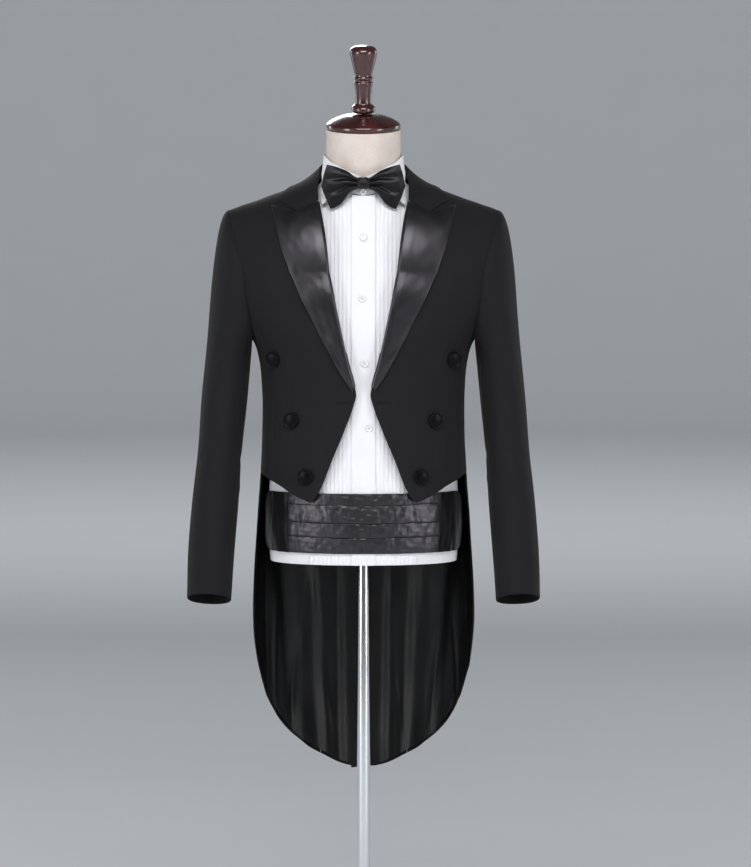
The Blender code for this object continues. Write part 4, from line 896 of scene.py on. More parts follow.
# Sleeve creases: side, distance round from the shoulder tip line by the front, height, then as above
SLEEVE_CREASES = (
    (1, 0.070, 0.985, 0.110, 0.0075, 22, 0.006, -0.0030),
    (-1, 0.072, 0.990, 0.120, 0.0080, 26, 0.006, -0.0031),
    (1, 0.060, 0.955, 0.090, 0.0070, 12, -0.004, 0.0020),
    (-1, 0.058, 0.960, 0.100, 0.0070, 8, -0.004, 0.0021),
    (1, 0.085, 0.925, 0.080, 0.0060, 30, 0.004, -0.0022),
    (-1, 0.080, 0.918, 0.085, 0.0065, 34, 0.004, -0.0022),
    (1, 0.045, 1.060, 0.170, 0.0100, 78, 0.004, 0.0016),
    (-1, 0.043, 1.050, 0.160, 0.0100, 83, -0.004, 0.0017),
    (1, 0.075, 1.130, 0.150, 0.0085, 64, 0.006, -0.0022),
    (-1, 0.078, 1.140, 0.140, 0.0085, 60, 0.006, -0.0021),
    (1, 0.050, 0.850, 0.130, 0.0080, 80, 0.003, 0.0012),
    (-1, 0.052, 0.840, 0.120, 0.0080, 74, 0.003, 0.0012),
    (1, 0.165, 0.980, 0.110, 0.0080, -24, 0.005, -0.0026),
    (-1, 0.168, 0.970, 0.120, 0.0080, -20, 0.005, -0.0027),
    (1, 0.175, 0.940, 0.090, 0.0070, -12, 0.004, 0.0018),
    (-1, 0.172, 0.932, 0.100, 0.0070, -16, -0.004, 0.0018),
    (1, 0.155, 1.120, 0.160, 0.0100, 100, 0.005, -0.0020),
    (-1, 0.152, 1.110, 0.150, 0.0100, 96, 0.005, -0.0020),
    (1, 0.240, 1.080, 0.150, 0.0100, 74, 0.005, 0.0018),
    (-1, 0.236, 1.070, 0.160, 0.0100, 78, -0.005, 0.0018),
    (1, 0.250, 0.900, 0.120, 0.0090, 60, 0.005, -0.0016),
    (-1, 0.254, 0.910, 0.110, 0.0090, 64, 0.005, -0.0016),
    (1, 0.020, 1.250, 0.100, 0.0120, 84, 0.004, -0.0012),
    (-1, 0.022, 1.260, 0.110, 0.0120, 88, 0.004, -0.0012),
)
SLEEVE_CREASE_DEPTH = 0.5
SLEEVE_CAP_ROWS = 44
SLEEVE_ARM_ROWS = 84


def armhole_loop(side):
    """Points round the armhole and the angle each takes on the sleeve's lower rings."""
    front = front_armhole(ARMHOLE_ROWS)[::-1]
    under = underarm(UNDERARM_FRONT, UNDERARM_BACK)
    back = back_armhole(ARMHOLE_ROWS)
    domain = np.concatenate([front, under[1:], back[1:-1]])
    points = coat_grid(domain, np.zeros(len(domain)), side)[0]
    bottom = len(front) - 1 + UNDERARM_FRONT
    loop = np.concatenate([points, points[:1]])
    along = np.concatenate([[0.0], np.cumsum(np.linalg.norm(np.diff(loop, axis=0), axis=1))])
    turns = np.empty(len(points))
    turns[: bottom + 1] = math.pi * along[: bottom + 1] / along[bottom]
    turns[bottom:] = math.pi + math.pi * (along[bottom:-1] - along[bottom]) / (along[-1] - along[bottom])
    seams = (len(front) - 1, len(front) + len(under) - 2)
    return points, turns, seams


def sleeve_ring(height, turns):
    """One ring of the lower sleeve, square to its middle line."""
    rows = [(-row[0], *row[1:]) for row in SLEEVE_SECTIONS]
    x, y, half_width, half_depth = smooth(rows, -height)
    below = max(height - 0.004, rows[-1][0] * -1)
    above = min(height + 0.004, rows[0][0] * -1)
    ahead = smooth(rows, -below)[:2] - smooth(rows, -above)[:2]
    axis = unit(np.array([ahead[0], ahead[1], below - above]))
    wide = unit(np.array([1.0, 0.0, 0.0]) - axis * axis[0])
    deep = np.cross(axis, wide)
    deep *= -np.sign(deep[1])
    power = 2 / 2.2
    cosine = np.sign(np.cos(turns)) * np.abs(np.cos(turns)) ** power
    sine = np.sign(np.sin(turns)) * np.abs(np.sin(turns)) ** power
    middle = np.array([x, y, height])
    return middle + np.outer(cosine * half_width, wide) + np.outer(sine * half_depth, deep)


def sleeve_grid(cap_rows, arm_rows, side):
    """Rings from just inside the armhole over the cap and down the arm."""
    points, turns, seams = armhole_loop(side)
    start = points - np.array([ARMHOLE_TUCK, 0.0, 0.0])
    bicep = sleeve_ring(SLEEVE_SECTIONS[0][0], turns)
    length = np.linalg.norm(bicep - start, axis=1)[:, None]
    facing = np.stack([(1 + np.cos(turns)) / 2, -0.35 * np.sin(turns), -(1 - np.cos(turns)) / 2], axis=-1)
    reach = CAP_REACH + CAP_FULLNESS * ((1 + np.cos(turns)) / 2)[:, None] ** 2
    leave = start + unit(facing) * np.minimum(reach, 0.3 * length)
    arrive = bicep + unit(np.array([-CAP_SWING, 0.0, 1.0])) * CAP_HANG * length
    rows = []
    for t in np.linspace(0.0, 1.0, cap_rows + 1):
        early = (1 - t) ** 3 * start + 3 * t * (1 - t) ** 2 * leave
        rows.append(early + 3 * t**2 * (1 - t) * arrive + t**3 * bicep)
    heights = np.linspace(SLEEVE_SECTIONS[0][0], SLEEVE_SECTIONS[-1][0], arm_rows + 1)[1:]
    rows.extend(sleeve_ring(height, turns) for height in heights)
    return np.array(rows), seams


def add_sleeves(side, hand, materials):
    grid, (first, second) = sleeve_grid(SLEEVE_CAP_ROWS, SLEEVE_ARM_ROWS, side)
    ring = np.concatenate([grid[:, -1:], grid, grid[:, :1]], axis=1)
    middle = grid.mean(axis=1, keepdims=True)
    normal = grid_normals(ring, np.concatenate([grid[:, -1:], grid, grid[:, :1]], axis=1) - middle)[:, 1:-1]
    loop = np.concatenate([grid, grid[:, :1]], axis=1)
    around = np.cumsum(np.linalg.norm(np.diff(loop, axis=1), axis=-1), axis=1)
    around = np.concatenate([np.zeros((len(grid), 1)), around[:, :-1]], axis=1)
    shrink = ease(np.arange(len(grid)), 0, SLEEVE_CAP_ROWS * 0.35)[:, None]
    height = SLEEVE_CREASE_DEPTH * creases(around, grid[..., 2], SLEEVE_CREASES, side)
    places = np.stack([np.cos(np.arctan2(normal[..., 1], normal[..., 0])) * 0.06, normal[..., 1] * 0.06,
                       grid[..., 2] * 0.5], axis=-1)
    height = height + CLOTH_UNEVEN * rough_noise(places, 0.070, 31 + side)
    grid = grid + normal * (height * shrink)[..., None]
    count = grid.shape[1]
    under = list(range(first, second + 1))
    upper = [k % count for k in range(second, first + count + 1)]
    for kind, columns in (("sleeve_under", under), ("sleeve_top", upper)):
        name = f"{kind}_{hand}"
        outer = drawn_in(grid[:, columns], "left right")
        piece = cloth_shell(f"cloth_{name}", outer, normal[:, columns], COAT_WALL, materials["wool"], side,
                            "top left right")
        cloth(piece, kind, "hung", "wool", name, rests_on=f"cloth_coat_front_{hand}")


# Lapels and collar lie on the coat's own surface

# Across the lapel: share, shift of the edge in x, height of the outer face
LAPEL_PROFILE = (
    (0.00, -0.0048, 0.0004),
    (0.04, -0.0056, 0.0032),
    (0.12, -0.0034, 0.0050),
    (0.28, 0.0, 0.0049),
    (0.46, 0.0, 0.0046),
    (0.64, 0.0, 0.0043),
    (0.82, 0.0, 0.0041),
    (1.00, 0.0, 0.0039),
)
LAPEL_ROWS = 96
LAPEL_COLUMNS = 40
# Creases of the satin: side, distance across from the roll line, height, then as above
LAPEL_CREASES = (
    (1, 0.040, 1.238, 0.190, 0.0220, -24, 0.003, 0.0024),
    (-1, 0.040, 1.234, 0.190, 0.0220, -27, -0.003, 0.0024),
    (1, 0.030, 1.190, 0.150, 0.0170, -20, 0.003, -0.0020),
    (-1, 0.030, 1.186, 0.150, 0.0170, -24, 0.003, -0.0020),
    (0, 0.056, 1.352, 0.052, 0.0055, 34, 0.002, -0.0012),
    (1, 0.070, 1.336, 0.040, 0.0035, 66, 0.001, 0.0008),
    (-1, 0.072, 1.340, 0.040, 0.0035, 58, 0.001, 0.0008),
    (1, 0.078, 1.318, 0.034, 0.0030, 78, 0.001, -0.0007),
    (-1, 0.076, 1.322, 0.034, 0.0030, 84, 0.001, -0.0007),
    (0, 0.030, 1.368, 0.050, 0.0040, 12, 0.001, 0.0007),
    (1, 0.016, 1.140, 0.060, 0.0060, 62, 0.002, 0.0008),
    (-1, 0.017, 1.134, 0.060, 0.0060, 66, 0.002, 0.0008),
)


def add_lapels(side, hand, materials):
    """Columns run from the roll line out."""
    shares = np.linspace(0.0, 1.0, LAPEL_COLUMNS + 1) ** 1.25
    profile = np.array(LAPEL_PROFILE)
    shift = np.interp(shares, profile[:, 0], profile[:, 1])
    heights = smooth(profile[:, [0, 2]], shares)[:, 0]
    roll = resample([coat_domain(x + FRONT_PAST_ROLL, z, 1) for x, z in ROLL_LINE], LAPEL_ROWS)
    edge = resample([coat_domain(x, z, 1) for x, z in LAPEL_EDGE], LAPEL_ROWS)
    dip = np.array(coat_domain(GORGE_END[0], GORGE_END[1] - 0.0012, 1))
    middle_at = (dip[0] - roll[-1][0]) / (edge[-1][0] - roll[-1][0])
    straight = roll[-1] + (edge[-1] - roll[-1]) * middle_at
    tent = np.minimum(shares / middle_at, (1 - shares) / (1 - middle_at))
    bent = (np.linspace(0.0, 1.0, LAPEL_ROWS + 1) ** 5)[:, None, None]
    domain = roll[:, None] + (edge - roll)[:, None] * shares[None, :, None]
    domain = domain + (dip - straight) * tent[None, :, None] * bent
    u, h = domain[..., 0], domain[..., 1]
    width = np.linalg.norm(coat_surface(*edge.T) - coat_surface(*roll.T), axis=-1)
    across = shares[None, :] * width[:, None]
    lift = heights + creases(across, h, LAPEL_CREASES, side)
    lift = lift + 0.00016 * rough_noise(np.stack([across, h], axis=-1), 0.022, 51 + side)
    normal = surface_normal(coat_surface, u, h)
    grid = coat_surface(u, h) + normal * (lift + coat_crease(u, h, side))[..., None]
    rise = np.minimum(1.0, 0.7 + np.linspace(0, LAPEL_ROWS / 30, LAPEL_ROWS + 1))
    grid[..., 0] += shift[None, :] * rise[:, None]
    grid[-1] += unit(grid[-2] - grid[-1]) * 0.0008
    name = f"lapel_{hand}"
    piece = cloth_shell(f"cloth_{name}", grid, normal, SATIN_WALL, materials["satin_lapel"], side)
    cloth(piece, "lapel", "laid", "satin", name, rests_on=f"cloth_coat_front_{hand}")


def collar_lines(columns):
    """Domain lines across the fall: at the gorge and notch, on the shoulder, at the middle of the back."""
    gorge = [coat_domain(ROLL_LINE[-1][0] + 0.0005, ROLL_LINE[-1][1] + 0.001, 1)]
    gorge.append(coat_domain(GORGE_END[0], GORGE_END[1] + 0.0006, 1))
    gorge.append(coat_domain(*COLLAR_CORNER, 1))
    start, bend, end = np.array(gorge)
    shares = np.linspace(0.0, 1.0, columns + 1)
    first = [start + (bend - start) * min(1, 2 * p) + (end - bend) * max(0, 2 * p - 1) for p in shares]
    half = COAT_SECTIONS[-1][1]
    shoulder = []
    back = []
    for p in shares:
        x = NECK_POINT_X + (COLLAR_SHOULDER_X - NECK_POINT_X) * p
        shoulder.append((math.asin((x / half) ** (COAT_ROUNDNESS / 2)), TOP))
        back.append((math.pi, BACK_NECK + (CHEST + SHOULDER_TRAVEL * COLLAR_BACK_TRAVEL - BACK_NECK) * p))
    return np.array(first), np.array(shoulder), np.array(back)


def collar_domain(share, lines):
    """Domain points across the fall at a share of the way from its front end to the middle of the back."""
    first, shoulder, back = lines
    if share <= COLLAR_SHOULDER_AT:
        part = share / COLLAR_SHOULDER_AT
        return first + (shoulder - first) * part
    turn = (share - COLLAR_SHOULDER_AT) / (1 - COLLAR_SHOULDER_AT) * math.pi / 2
    half = COAT_SECTIONS[-1][1]
    x = half * np.sin(shoulder[:, 0]) ** (2 / COAT_ROUNDNESS) * math.cos(turn)
    u = math.pi - np.arcsin((x / half) ** (COAT_ROUNDNESS / 2))
    h = TOP - (TOP - back[:, 1]) * math.sin(turn)
    return np.stack([u, h], axis=-1)


def collar_fold(share, neckline):
    """Point of the fold above and inside the neckline."""
    foot = coat_surface(*neckline)
    inside, rise = smooth(COLLAR_FOLD, share)
    towards = unit(np.array([-foot[0], NECK_MIDDLE_Y - foot[1], 0.0]))
    return foot + towards * inside + np.array([0.0, 0.0, rise])


def collar_half(rows, columns, side):
    """Half of the fall; its rise above the coat grows towards the fold."""
    lines = collar_lines(columns)
    shares = np.linspace(0.0, 1.0, columns + 1)
    grid = []
    normals = []
    for share in np.linspace(0.0, 1.0, rows + 1):
        domain = collar_domain(share, lines)
        line, normal = coat_grid(domain, np.full(columns + 1, COLLAR_LIFT), side)
        line = line + ((1 - shares) ** COLLAR_SPREAD)[:, None] * (collar_fold(share, domain[0]) - line[0])
        grid.append(line)
        normals.append(normal)
    return np.array(grid), np.array(normals)


def both_halves(right, left):
    """One grid from the wearer's right half, mirrored, and the left half, joined at the middle row."""
    return np.concatenate([right[:-1] * np.array([-1, 1, 1]), left[::-1]])


def add_coat_collar(materials):
    halves = [collar_half(64, 30, side) for side in (-1, 1)]
    grid = both_halves(halves[0][0], halves[1][0])
    normal = both_halves(halves[0][1], halves[1][1])
    normal = unit(normal + np.array([0.0, 0.0, 0.2]))
    piece = cloth_shell("cloth_coat_collar", grid, normal, SATIN_WALL, materials["wool"])
    cloth(piece, "coat_collar", "folded", "wool", "coat_collar", rests_on="cloth_coat_back_left")


def add_collar_stand(materials):
    """Upright inner band between the neckline and the fold."""
    lines = collar_lines(1)
    half = []
    for share in np.linspace(COLLAR_STAND_START, 1.0, 41):
        neckline = collar_domain(share, lines)[0]
        foot = coat_surface(*neckline)
        fold = collar_fold(share, neckline)
        towards = unit(np.array([-fold[0], NECK_MIDDLE_Y - fold[1], 0.0]))
        low = foot + towards * COLLAR_STAND_FOOT[0] + np.array([0, 0, COLLAR_STAND_FOOT[1]])
        high = fold + towards * COLLAR_STAND_TOP[0] + np.array([0, 0, COLLAR_STAND_TOP[1]])
        half.append([low + (high - low) * p for p in np.linspace(0.0, 1.0, 9)])
    grid = both_halves(np.array(half), np.array(half))
    outward = (grid - np.array([0.0, NECK_MIDDLE_Y, 0.0])) * np.array([1, 1, 0])
    piece = cloth_shell("cloth_coat_collar_stand", grid, unit(outward), SATIN_WALL, materials["wool"])
    cloth(piece, "coat_collar_stand", "laid", "wool", "coat_collar_stand", rests_on="cloth_coat_collar")


# Buttons

def facing_place(point, normal):
    """Matrix that sets a turned body's axis along a normal at a point."""
    turn = Vector((0, 0, 1)).rotation_difference(Vector(normal))
    return Matrix.Translation(Vector(point)) @ turn.to_matrix().to_4x4()


def seat_lift(surface, first, second, normal, centre, radius):
    """How far the cloth round a button rises above the plane at its middle."""
    near = surface(first, second) - centre
    within = np.linalg.norm(near, axis=-1) < radius * 1.15
    return float(np.max(np.where(within, near @ normal, 0.0)))


# Outline of a covered button: share of its radius, share of its height; a ring stands round a shallow dome
COVERED_PROFILE = (
    (0.00, 0.00),
    (0.82, 0.00),
    (0.95, 0.10),
    (1.00, 0.34),
    (1.00, 0.60),
    (0.97, 0.82),
    (0.92, 0.93),
    (0.86, 0.95),
    (0.80, 0.86),
    (0.76, 0.76),
    (0.70, 0.76),
    (0.58, 0.83),
    (0.42, 0.91),
    (0.22, 0.97),
    (0.00, 1.00),
)
# A button hangs a little forward and down on its shank, most of all at the side of the chest
BUTTON_FACES_FRONT = (0.0, -1.0, -0.32)
BUTTON_TURN = (0.75, 0.50, 0.32)


def covered_profile():
    table = [(radius * COAT_BUTTON_RADIUS, height * COAT_BUTTON_HEIGHT) for radius, height in COVERED_PROFILE]
    return rounded_profile(table, 4, 0.4)


def add_coat_buttons(side, hand, materials):
    for number, (x, height) in enumerate(COAT_BUTTONS, 1):
        u, h = coat_domain(x, height, 1)
        centre = coat_surface(u, h)
        normal = unit(lifted(coat_surface, np.array(u), np.array(h), SEAT_GAP) - centre)
        reach = np.linspace(-0.15, 0.15, 61)
        around = np.meshgrid(u + reach, h + reach / 5)
        rise = BUTTON_SEAT_SHARE * seat_lift(coat_surface, *around, normal, centre, COAT_BUTTON_RADIUS)
        mirror = np.array([side, 1, 1])
        facing = unit(normal + np.array(BUTTON_FACES_FRONT) * BUTTON_TURN[number - 1])
        tilt = math.sqrt(max(0.0, 1 - float(facing @ normal) ** 2))
        lift = rise + SEAT_GAP + tilt * COAT_BUTTON_RADIUS * 0.45
        place = facing_place((centre + normal * lift) * mirror, facing * mirror)
        name = f"coat_button_{hand}_{number}"
        # The buttons take the darkest, dullest satin copy, painted shade for faces that turn down from the
        # lights.
        piece = turned_object(f"covered_{name}", covered_profile(), 64, materials["satin_button"], place)
        crumple_cover(piece, place, number + 5 * side)
        settle(piece, "satin", name)


def crumple_cover(piece, place, seed):
    """Small gathers of the cover round a button's rim."""
    back = np.array(place.inverted())
    mesh = piece.data
    points = np.empty(len(mesh.vertices) * 3)
    mesh.vertices.foreach_get("co", points)
    points = points.reshape(-1, 3)
    local = points @ back[:3, :3].T + back[:3, 3]
    radius = np.linalg.norm(local[:, :2], axis=1)
    turn = np.arctan2(local[:, 1], local[:, 0])
    near_rim = ease(radius, COAT_BUTTON_RADIUS * 0.6, COAT_BUTTON_RADIUS * 0.98)
    wave = 0.6 * np.sin(turn * 17 + seed) + 0.4 * np.sin(turn * 27 + 2.1 * seed)
    local[:, 2] += near_rim * wave * 0.00016
    local[:, :2] *= (1 + near_rim * wave * 0.008)[:, None]
    forward = np.array(place)
    points = local @ forward[:3, :3].T + forward[:3, 3]
    mesh.vertices.foreach_set("co", points.astype(np.float32).ravel())
    mesh.update()


# Worked buttonhole beside the front edge: distance from the middle of its inner end, height, length, gap
BUTTONHOLE = (0.0185, 1.0735, 0.0260, 0.0011)
BUTTONHOLE_STITCH = 0.0011


def add_buttonhole(side, hand, materials):
    """A raised ring of close stitches round a slit in the front."""
    inner, height, length, half = BUTTONHOLE
    turns = np.linspace(0.0, 2 * math.pi, 61)
    x = inner + length / 2 + length / 2 * np.clip(1.08 * np.cos(turns), -1, 1)
    z = height + half * np.sin(turns)
    domain = np.array([coat_domain(px, pz, 1) for px, pz in zip(x, z)])
    line, normal = coat_grid(domain, np.zeros(len(domain)), side)
    line, normal = line * np.array([side, 1, 1]), normal * np.array([side, 1, 1])
    stitch_line(f"buttonhole_{hand}", line, normal, materials["wool_thread"], "wool", 0.00062, 0.00085,
                BUTTONHOLE_STITCH, 0.0)


# Dress form surface

def form_section(z):
    return smooth(FORM_SECTIONS, z)


def form_surface(u, z):
    section = form_section(z)
    power = 2 / section[..., 3]
    sine, cosine = np.sin(u), np.cos(u)
    x = section[..., 0] * np.sign(sine) * np.abs(sine) ** power
    depth = np.where(cosine > 0, section[..., 1], section[..., 2])
    y = NECK_MIDDLE_Y * ease(z, 1.380, 1.430) - depth * np.sign(cosine) * np.abs(cosine) ** power
    return np.stack([x, y, np.broadcast_to(z, x.shape)], axis=-1)


def form_angle(x, z):
    """Angle from the middle of the front of the form's point at x."""
    section = form_section(z)
    share = np.clip(np.abs(x) / section[..., 0], 0.0, 0.99998)
    return np.arcsin(share ** (section[..., 3] / 2)) * np.sign(x)


def add_form(materials):
    """Torso and neck as one closed body with a flat bottom."""
    turns = np.linspace(0, 2 * math.pi, 129)[:-1]
    heights = np.concatenate([np.linspace(FORM_BOTTOM, 1.38, 60), np.linspace(1.385, 1.452, 22)])
    rings = []
    for height in heights:
        z = np.full(turns.shape, height)
        inside = FORM_EASE * (1 - ease(height, 1.400, 1.450))
        ring = lifted(form_surface, turns, z, np.full(turns.shape, -inside))
        if height < CHEST:
            ring[:, 2] = height
        rings.append(ring)
    tilt = np.array(Matrix.Rotation(NECK_TILT, 3, "X"))
    flat = np.stack([NECK_RADIUS * np.sin(turns), -NECK_RADIUS * np.cos(turns), 0 * turns], axis=-1)
    top = np.array([0, NECK_TOP_Y, NECK_TOP]) + flat @ tilt.T
    for share in np.linspace(0.0, 1.0, 16)[1:]:
        rings.append(rings[len(heights) - 1] + (top - rings[len(heights) - 1]) * share)
    rings = np.array(rings)
    count = len(turns)
    index = np.arange(rings.shape[0] * count).reshape(rings.shape[0], count)
    after = np.roll(index, -1, axis=1)
    faces = np.stack([index[:-1], after[:-1], after[1:], index[1:]], axis=-1).reshape(-1, 4).tolist()
    faces.append(index[0][::-1].tolist())
    faces.append(index[-1].tolist())
    mesh = bpy.data.meshes.new("dress_form_cover")
    mesh.from_pydata(rings.reshape(-1, 3).tolist(), [], faces)
    layer = mesh.attributes.new("weave", "FLOAT_VECTOR", "POINT")
    around = turns[None, :] * 0.09 + 0 * rings[..., 0]
    places = np.stack([around, rings[..., 2], 0 * around], axis=-1)
    layer.data.foreach_set("vector", places.astype(np.float32).ravel())
    mesh.shade_smooth()
    mesh.set_sharp_from_angle(angle=math.radians(50))
    mesh.materials.append(materials["linen"])
    made = in_scene("dress_form_cover", mesh)
    settle(made, "linen", "form_torso")


# Shirt, laid on the form

def neck_foot(turn):
    """Height where the ring of the collar stand meets the form's slope, at an angle from the front."""
    heights = np.linspace(1.380, 1.450, 141)
    round_form = np.linspace(0.0, math.pi, 181)
    for height in heights:
        points = form_surface(round_form, np.full(round_form.shape, height))
        from_middle = points[:, :2] - np.array([0.0, NECK_MIDDLE_Y])
        angles = np.arctan2(from_middle[:, 0], -from_middle[:, 1])
        radius = np.interp(turn, angles, np.linalg.norm(from_middle, axis=1))
        if radius < STAND_RADIUS - 0.0004:
            return height
    return heights[-1]


NECK_FOOT_TURNS = np.linspace(0.0, math.pi, 25)
NECK_FOOTS = np.array([neck_foot(turn) for turn in NECK_FOOT_TURNS])


def shoulder_top(x):
    """Height of the form's shoulder line."""
    heights = np.linspace(1.34, 1.44, 201)
    return float(np.interp(-x, -form_section(heights)[:, 0], heights)) - 0.0008


def shirt_top(x, facing=1):
    """Height where a column of the shirt ends: the neckline, then the shoulder line."""
    if x > STAND_RADIUS * 0.99:
        return shoulder_top(x)
    turn = math.asin(x / STAND_RADIUS)
    turn = turn if facing > 0 else math.pi - turn
    return float(np.interp(turn, NECK_FOOT_TURNS, NECK_FOOTS)) - NECK_SEAM


def shirt_outside(z):
    """Distance from the middle of the side seam and of the armhole."""
    share = smooth(SHIRT_ARMHOLE, z)[..., 0]
    return form_section(z)[..., 0] * np.where(z < SHIRT_SEAM_HEIGHT, 1.0, share) * 0.9995


def shirt_columns(xs, outside_columns, facing, rows):
    """Grid of (x, height) for half a shirt; past the given columns it spreads to the side seam."""
    s = np.linspace(0.0, 1.0, rows + 1)
    grid = []
    for x in xs:
        top = shirt_top(x, facing)
        z = SHIRT_HEM + (top - SHIRT_HEM) * s
        grid.append(np.stack([np.full(z.shape, x), z], axis=-1))
    last = xs[-1]
    shoulder_end = form_section(1.362)[0] * 0.93
    for k in range(1, outside_columns + 1):
        share = k / outside_columns
        top = shirt_top(last + (shoulder_end - last) * share)
        z = SHIRT_HEM + (top - SHIRT_HEM) * s
        inside = form_angle(np.full(z.shape, last), z)
        angle = inside + (form_angle(shirt_outside(z), z) - inside) * share
        section = form_section(z)
        x = section[:, 0] * np.sin(angle) ** (2 / section[:, 3])
        x[-1] = last + (shoulder_end - last) * share
        grid.append(np.stack([x, z], axis=-1))
    return np.array(grid).transpose(1, 0, 2)


def on_form(plan, lift, facing):
    """Points and normals over the form at (x, height) places."""
    x, z = plan[..., 0], plan[..., 1]
    u = form_angle(x, z)
    if facing < 0:
        u = math.pi - u
    normal = surface_normal(form_surface, u, z)
    return form_surface(u, z) + normal * np.asarray(lift)[..., None], normal


SHIRT_ROWS = 80
# Across one pleat: share of its width, height of the fold
PLEAT_PROFILE = (
    (0.00, 0.06),
    (0.16, 0.20),
    (0.36, 0.42),
    (0.56, 0.66),
    (0.74, 0.92),
    (0.86, 1.00),
    (0.93, 0.92),
    (0.97, 0.50),
)
# Gathers under the cummerbund: side, x, height, length, width, turn, bow, height of the crease
HEM_GATHERS = (
    (0, 0.006, 0.826, 0.034, 0.0026, 86, 0.001, 0.0016),
    (1, 0.013, 0.824, 0.030, 0.0022, 80, 0.001, -0.0012),
    (-1, 0.011, 0.825, 0.032, 0.0022, 96, 0.001, -0.0012),
    (1, 0.020, 0.825, 0.028, 0.0026, 92, 0.001, 0.0013),
    (-1, 0.018, 0.824, 0.030, 0.0024, 84, 0.001, 0.0013),
    (0, 0.052, 0.824, 0.026, 0.0016, 88, 0.000, -0.0013),
    (1, 0.080, 0.823, 0.024, 0.0050, 78, 0.001, 0.0010),
    (-1, 0.086, 0.823, 0.024, 0.0050, 100, 0.001, 0.0011),
    (0, 0.115, 0.824, 0.024, 0.0045, 90, 0.001, -0.0010),
)
SHIRT_CREASES = (
    (1, 0.030, 0.985, 0.120, 0.0060, 86, 0.003, 0.0012),
    (-1, 0.026, 0.980, 0.130, 0.0060, 95, 0.003, 0.0011),
    (1, 0.012, 0.970, 0.110, 0.0050, 93, -0.002, -0.0010),
    (-1, 0.014, 0.960, 0.100, 0.0050, 84, 0.002, -0.0010),
    (1, 0.048, 0.975, 0.100, 0.0070, 82, 0.003, -0.0011),
    (-1, 0.046, 0.970, 0.110, 0.0070, 98, 0.003, -0.0010),
    (0, 0.020, 1.372, 0.060, 0.0050, 76, 0.002, 0.0007),
    (1, 0.040, 1.360, 0.080, 0.0060, 70, 0.003, -0.0007),
    (-1, 0.038, 1.350, 0.080, 0.0060, 74, 0.003, -0.0007),
)


def shirt_crease(x, z, side):
    """Soft folds of the shirt above the cummerbund and its gathers below."""
    total = creases(np.abs(x), z, SHIRT_CREASES, side)
    return total + creases(np.abs(x), z, HEM_GATHERS, side) * (1 - ease(z, 0.826, 0.834))


def add_shirt_fronts(side, hand, materials):
    xs = list(np.linspace(0.0004, PLACKET_HALF, 6))
    raised = [0.0] * len(xs)
    start = PLACKET_HALF + 0.001
    for number in range(PLEAT_COUNT):
        for share, height in PLEAT_PROFILE:
            xs.append(start + (number + share) * PLEAT_WIDTH)
            raised.append(height * PLEAT_HEIGHT)
    xs.append(start + PLEAT_COUNT * PLEAT_WIDTH)
    raised.append(0.0)
    outside = 30
    plan = shirt_columns(xs, outside, 1, SHIRT_ROWS)
    pleats = np.array([*raised, *[0.0] * outside])
    uneven = 1 + 0.16 * rough_noise(plan * np.array([1.0, 0.25]), 0.030, 71 + side)
    lift = SHIRT_OFF + SHIRT_WALL + pleats * uneven + shirt_crease(plan[..., 0], plan[..., 1], side)
    grid, normal = on_form(plan, lift, 1)
    name = f"shirt_front_{hand}"
    piece = cloth_shell(f"cloth_{name}", grid, normal, SHIRT_WALL, materials["cotton"], side, "bottom")
    cloth(piece, "shirt_front", "laid", "cotton", name)


def add_shirt_back(materials):
    xs = list(np.linspace(0.0, 0.1, 18))
    plan = shirt_columns(xs, 16, -1, 110)
    mirrored = plan[:, 1:][:, ::-1] * np.array([-1, 1])
    plan = np.concatenate([mirrored, plan], axis=1)
    lift = SHIRT_OFF + SHIRT_WALL + 0.0003 * rough_noise(plan, 0.05, 81)
    grid, normal = on_form(plan, lift, -1)
    piece = cloth_shell("cloth_shirt_back", grid, normal, SHIRT_WALL, materials["cotton"], 1, "bottom")
    cloth(piece, "shirt_back", "laid", "cotton", "shirt_back")


def placket_grid():
    half = shirt_columns(list(np.linspace(0.0, PLACKET_HALF, 11)), 0, 1, 190)
    plan = np.concatenate([half[:, 1:][:, ::-1] * np.array([-1, 1]), half], axis=1)
    side = np.where(plan[..., 0] < 0, -1, 1)
    left = shirt_crease(plan[..., 0], plan[..., 1], 1)
    right = shirt_crease(plan[..., 0], plan[..., 1], -1)
    crease = np.where(side > 0, left, right)
    waver = 0.0003 * rough_noise(plan * np.array([0.6, 1.0]), 0.06, 91)
    base = SHIRT_OFF + 2 * SHIRT_WALL + PLACKET_LIFT
    return on_form(plan, base + 0.6 * crease + waver, 1)


def add_placket(materials):
    """Plain front strip over the meeting edges, from the collar to the hem, stitched down each side."""
    grid, normal = placket_grid()
    piece = cloth_shell("cloth_shirt_placket", grid, normal, SHIRT_WALL, materials["cotton"])
    cloth(piece, "shirt_placket", "laid", "cotton", "shirt_placket", rests_on="cloth_shirt_front_left")
    for name, column in (("right", 1), ("left", -2)):
        line = grid[:, column]
        stitch_line(f"stitches_placket_{name}", line, normal[:, column], materials["thread"], "cotton")
    return grid, normal


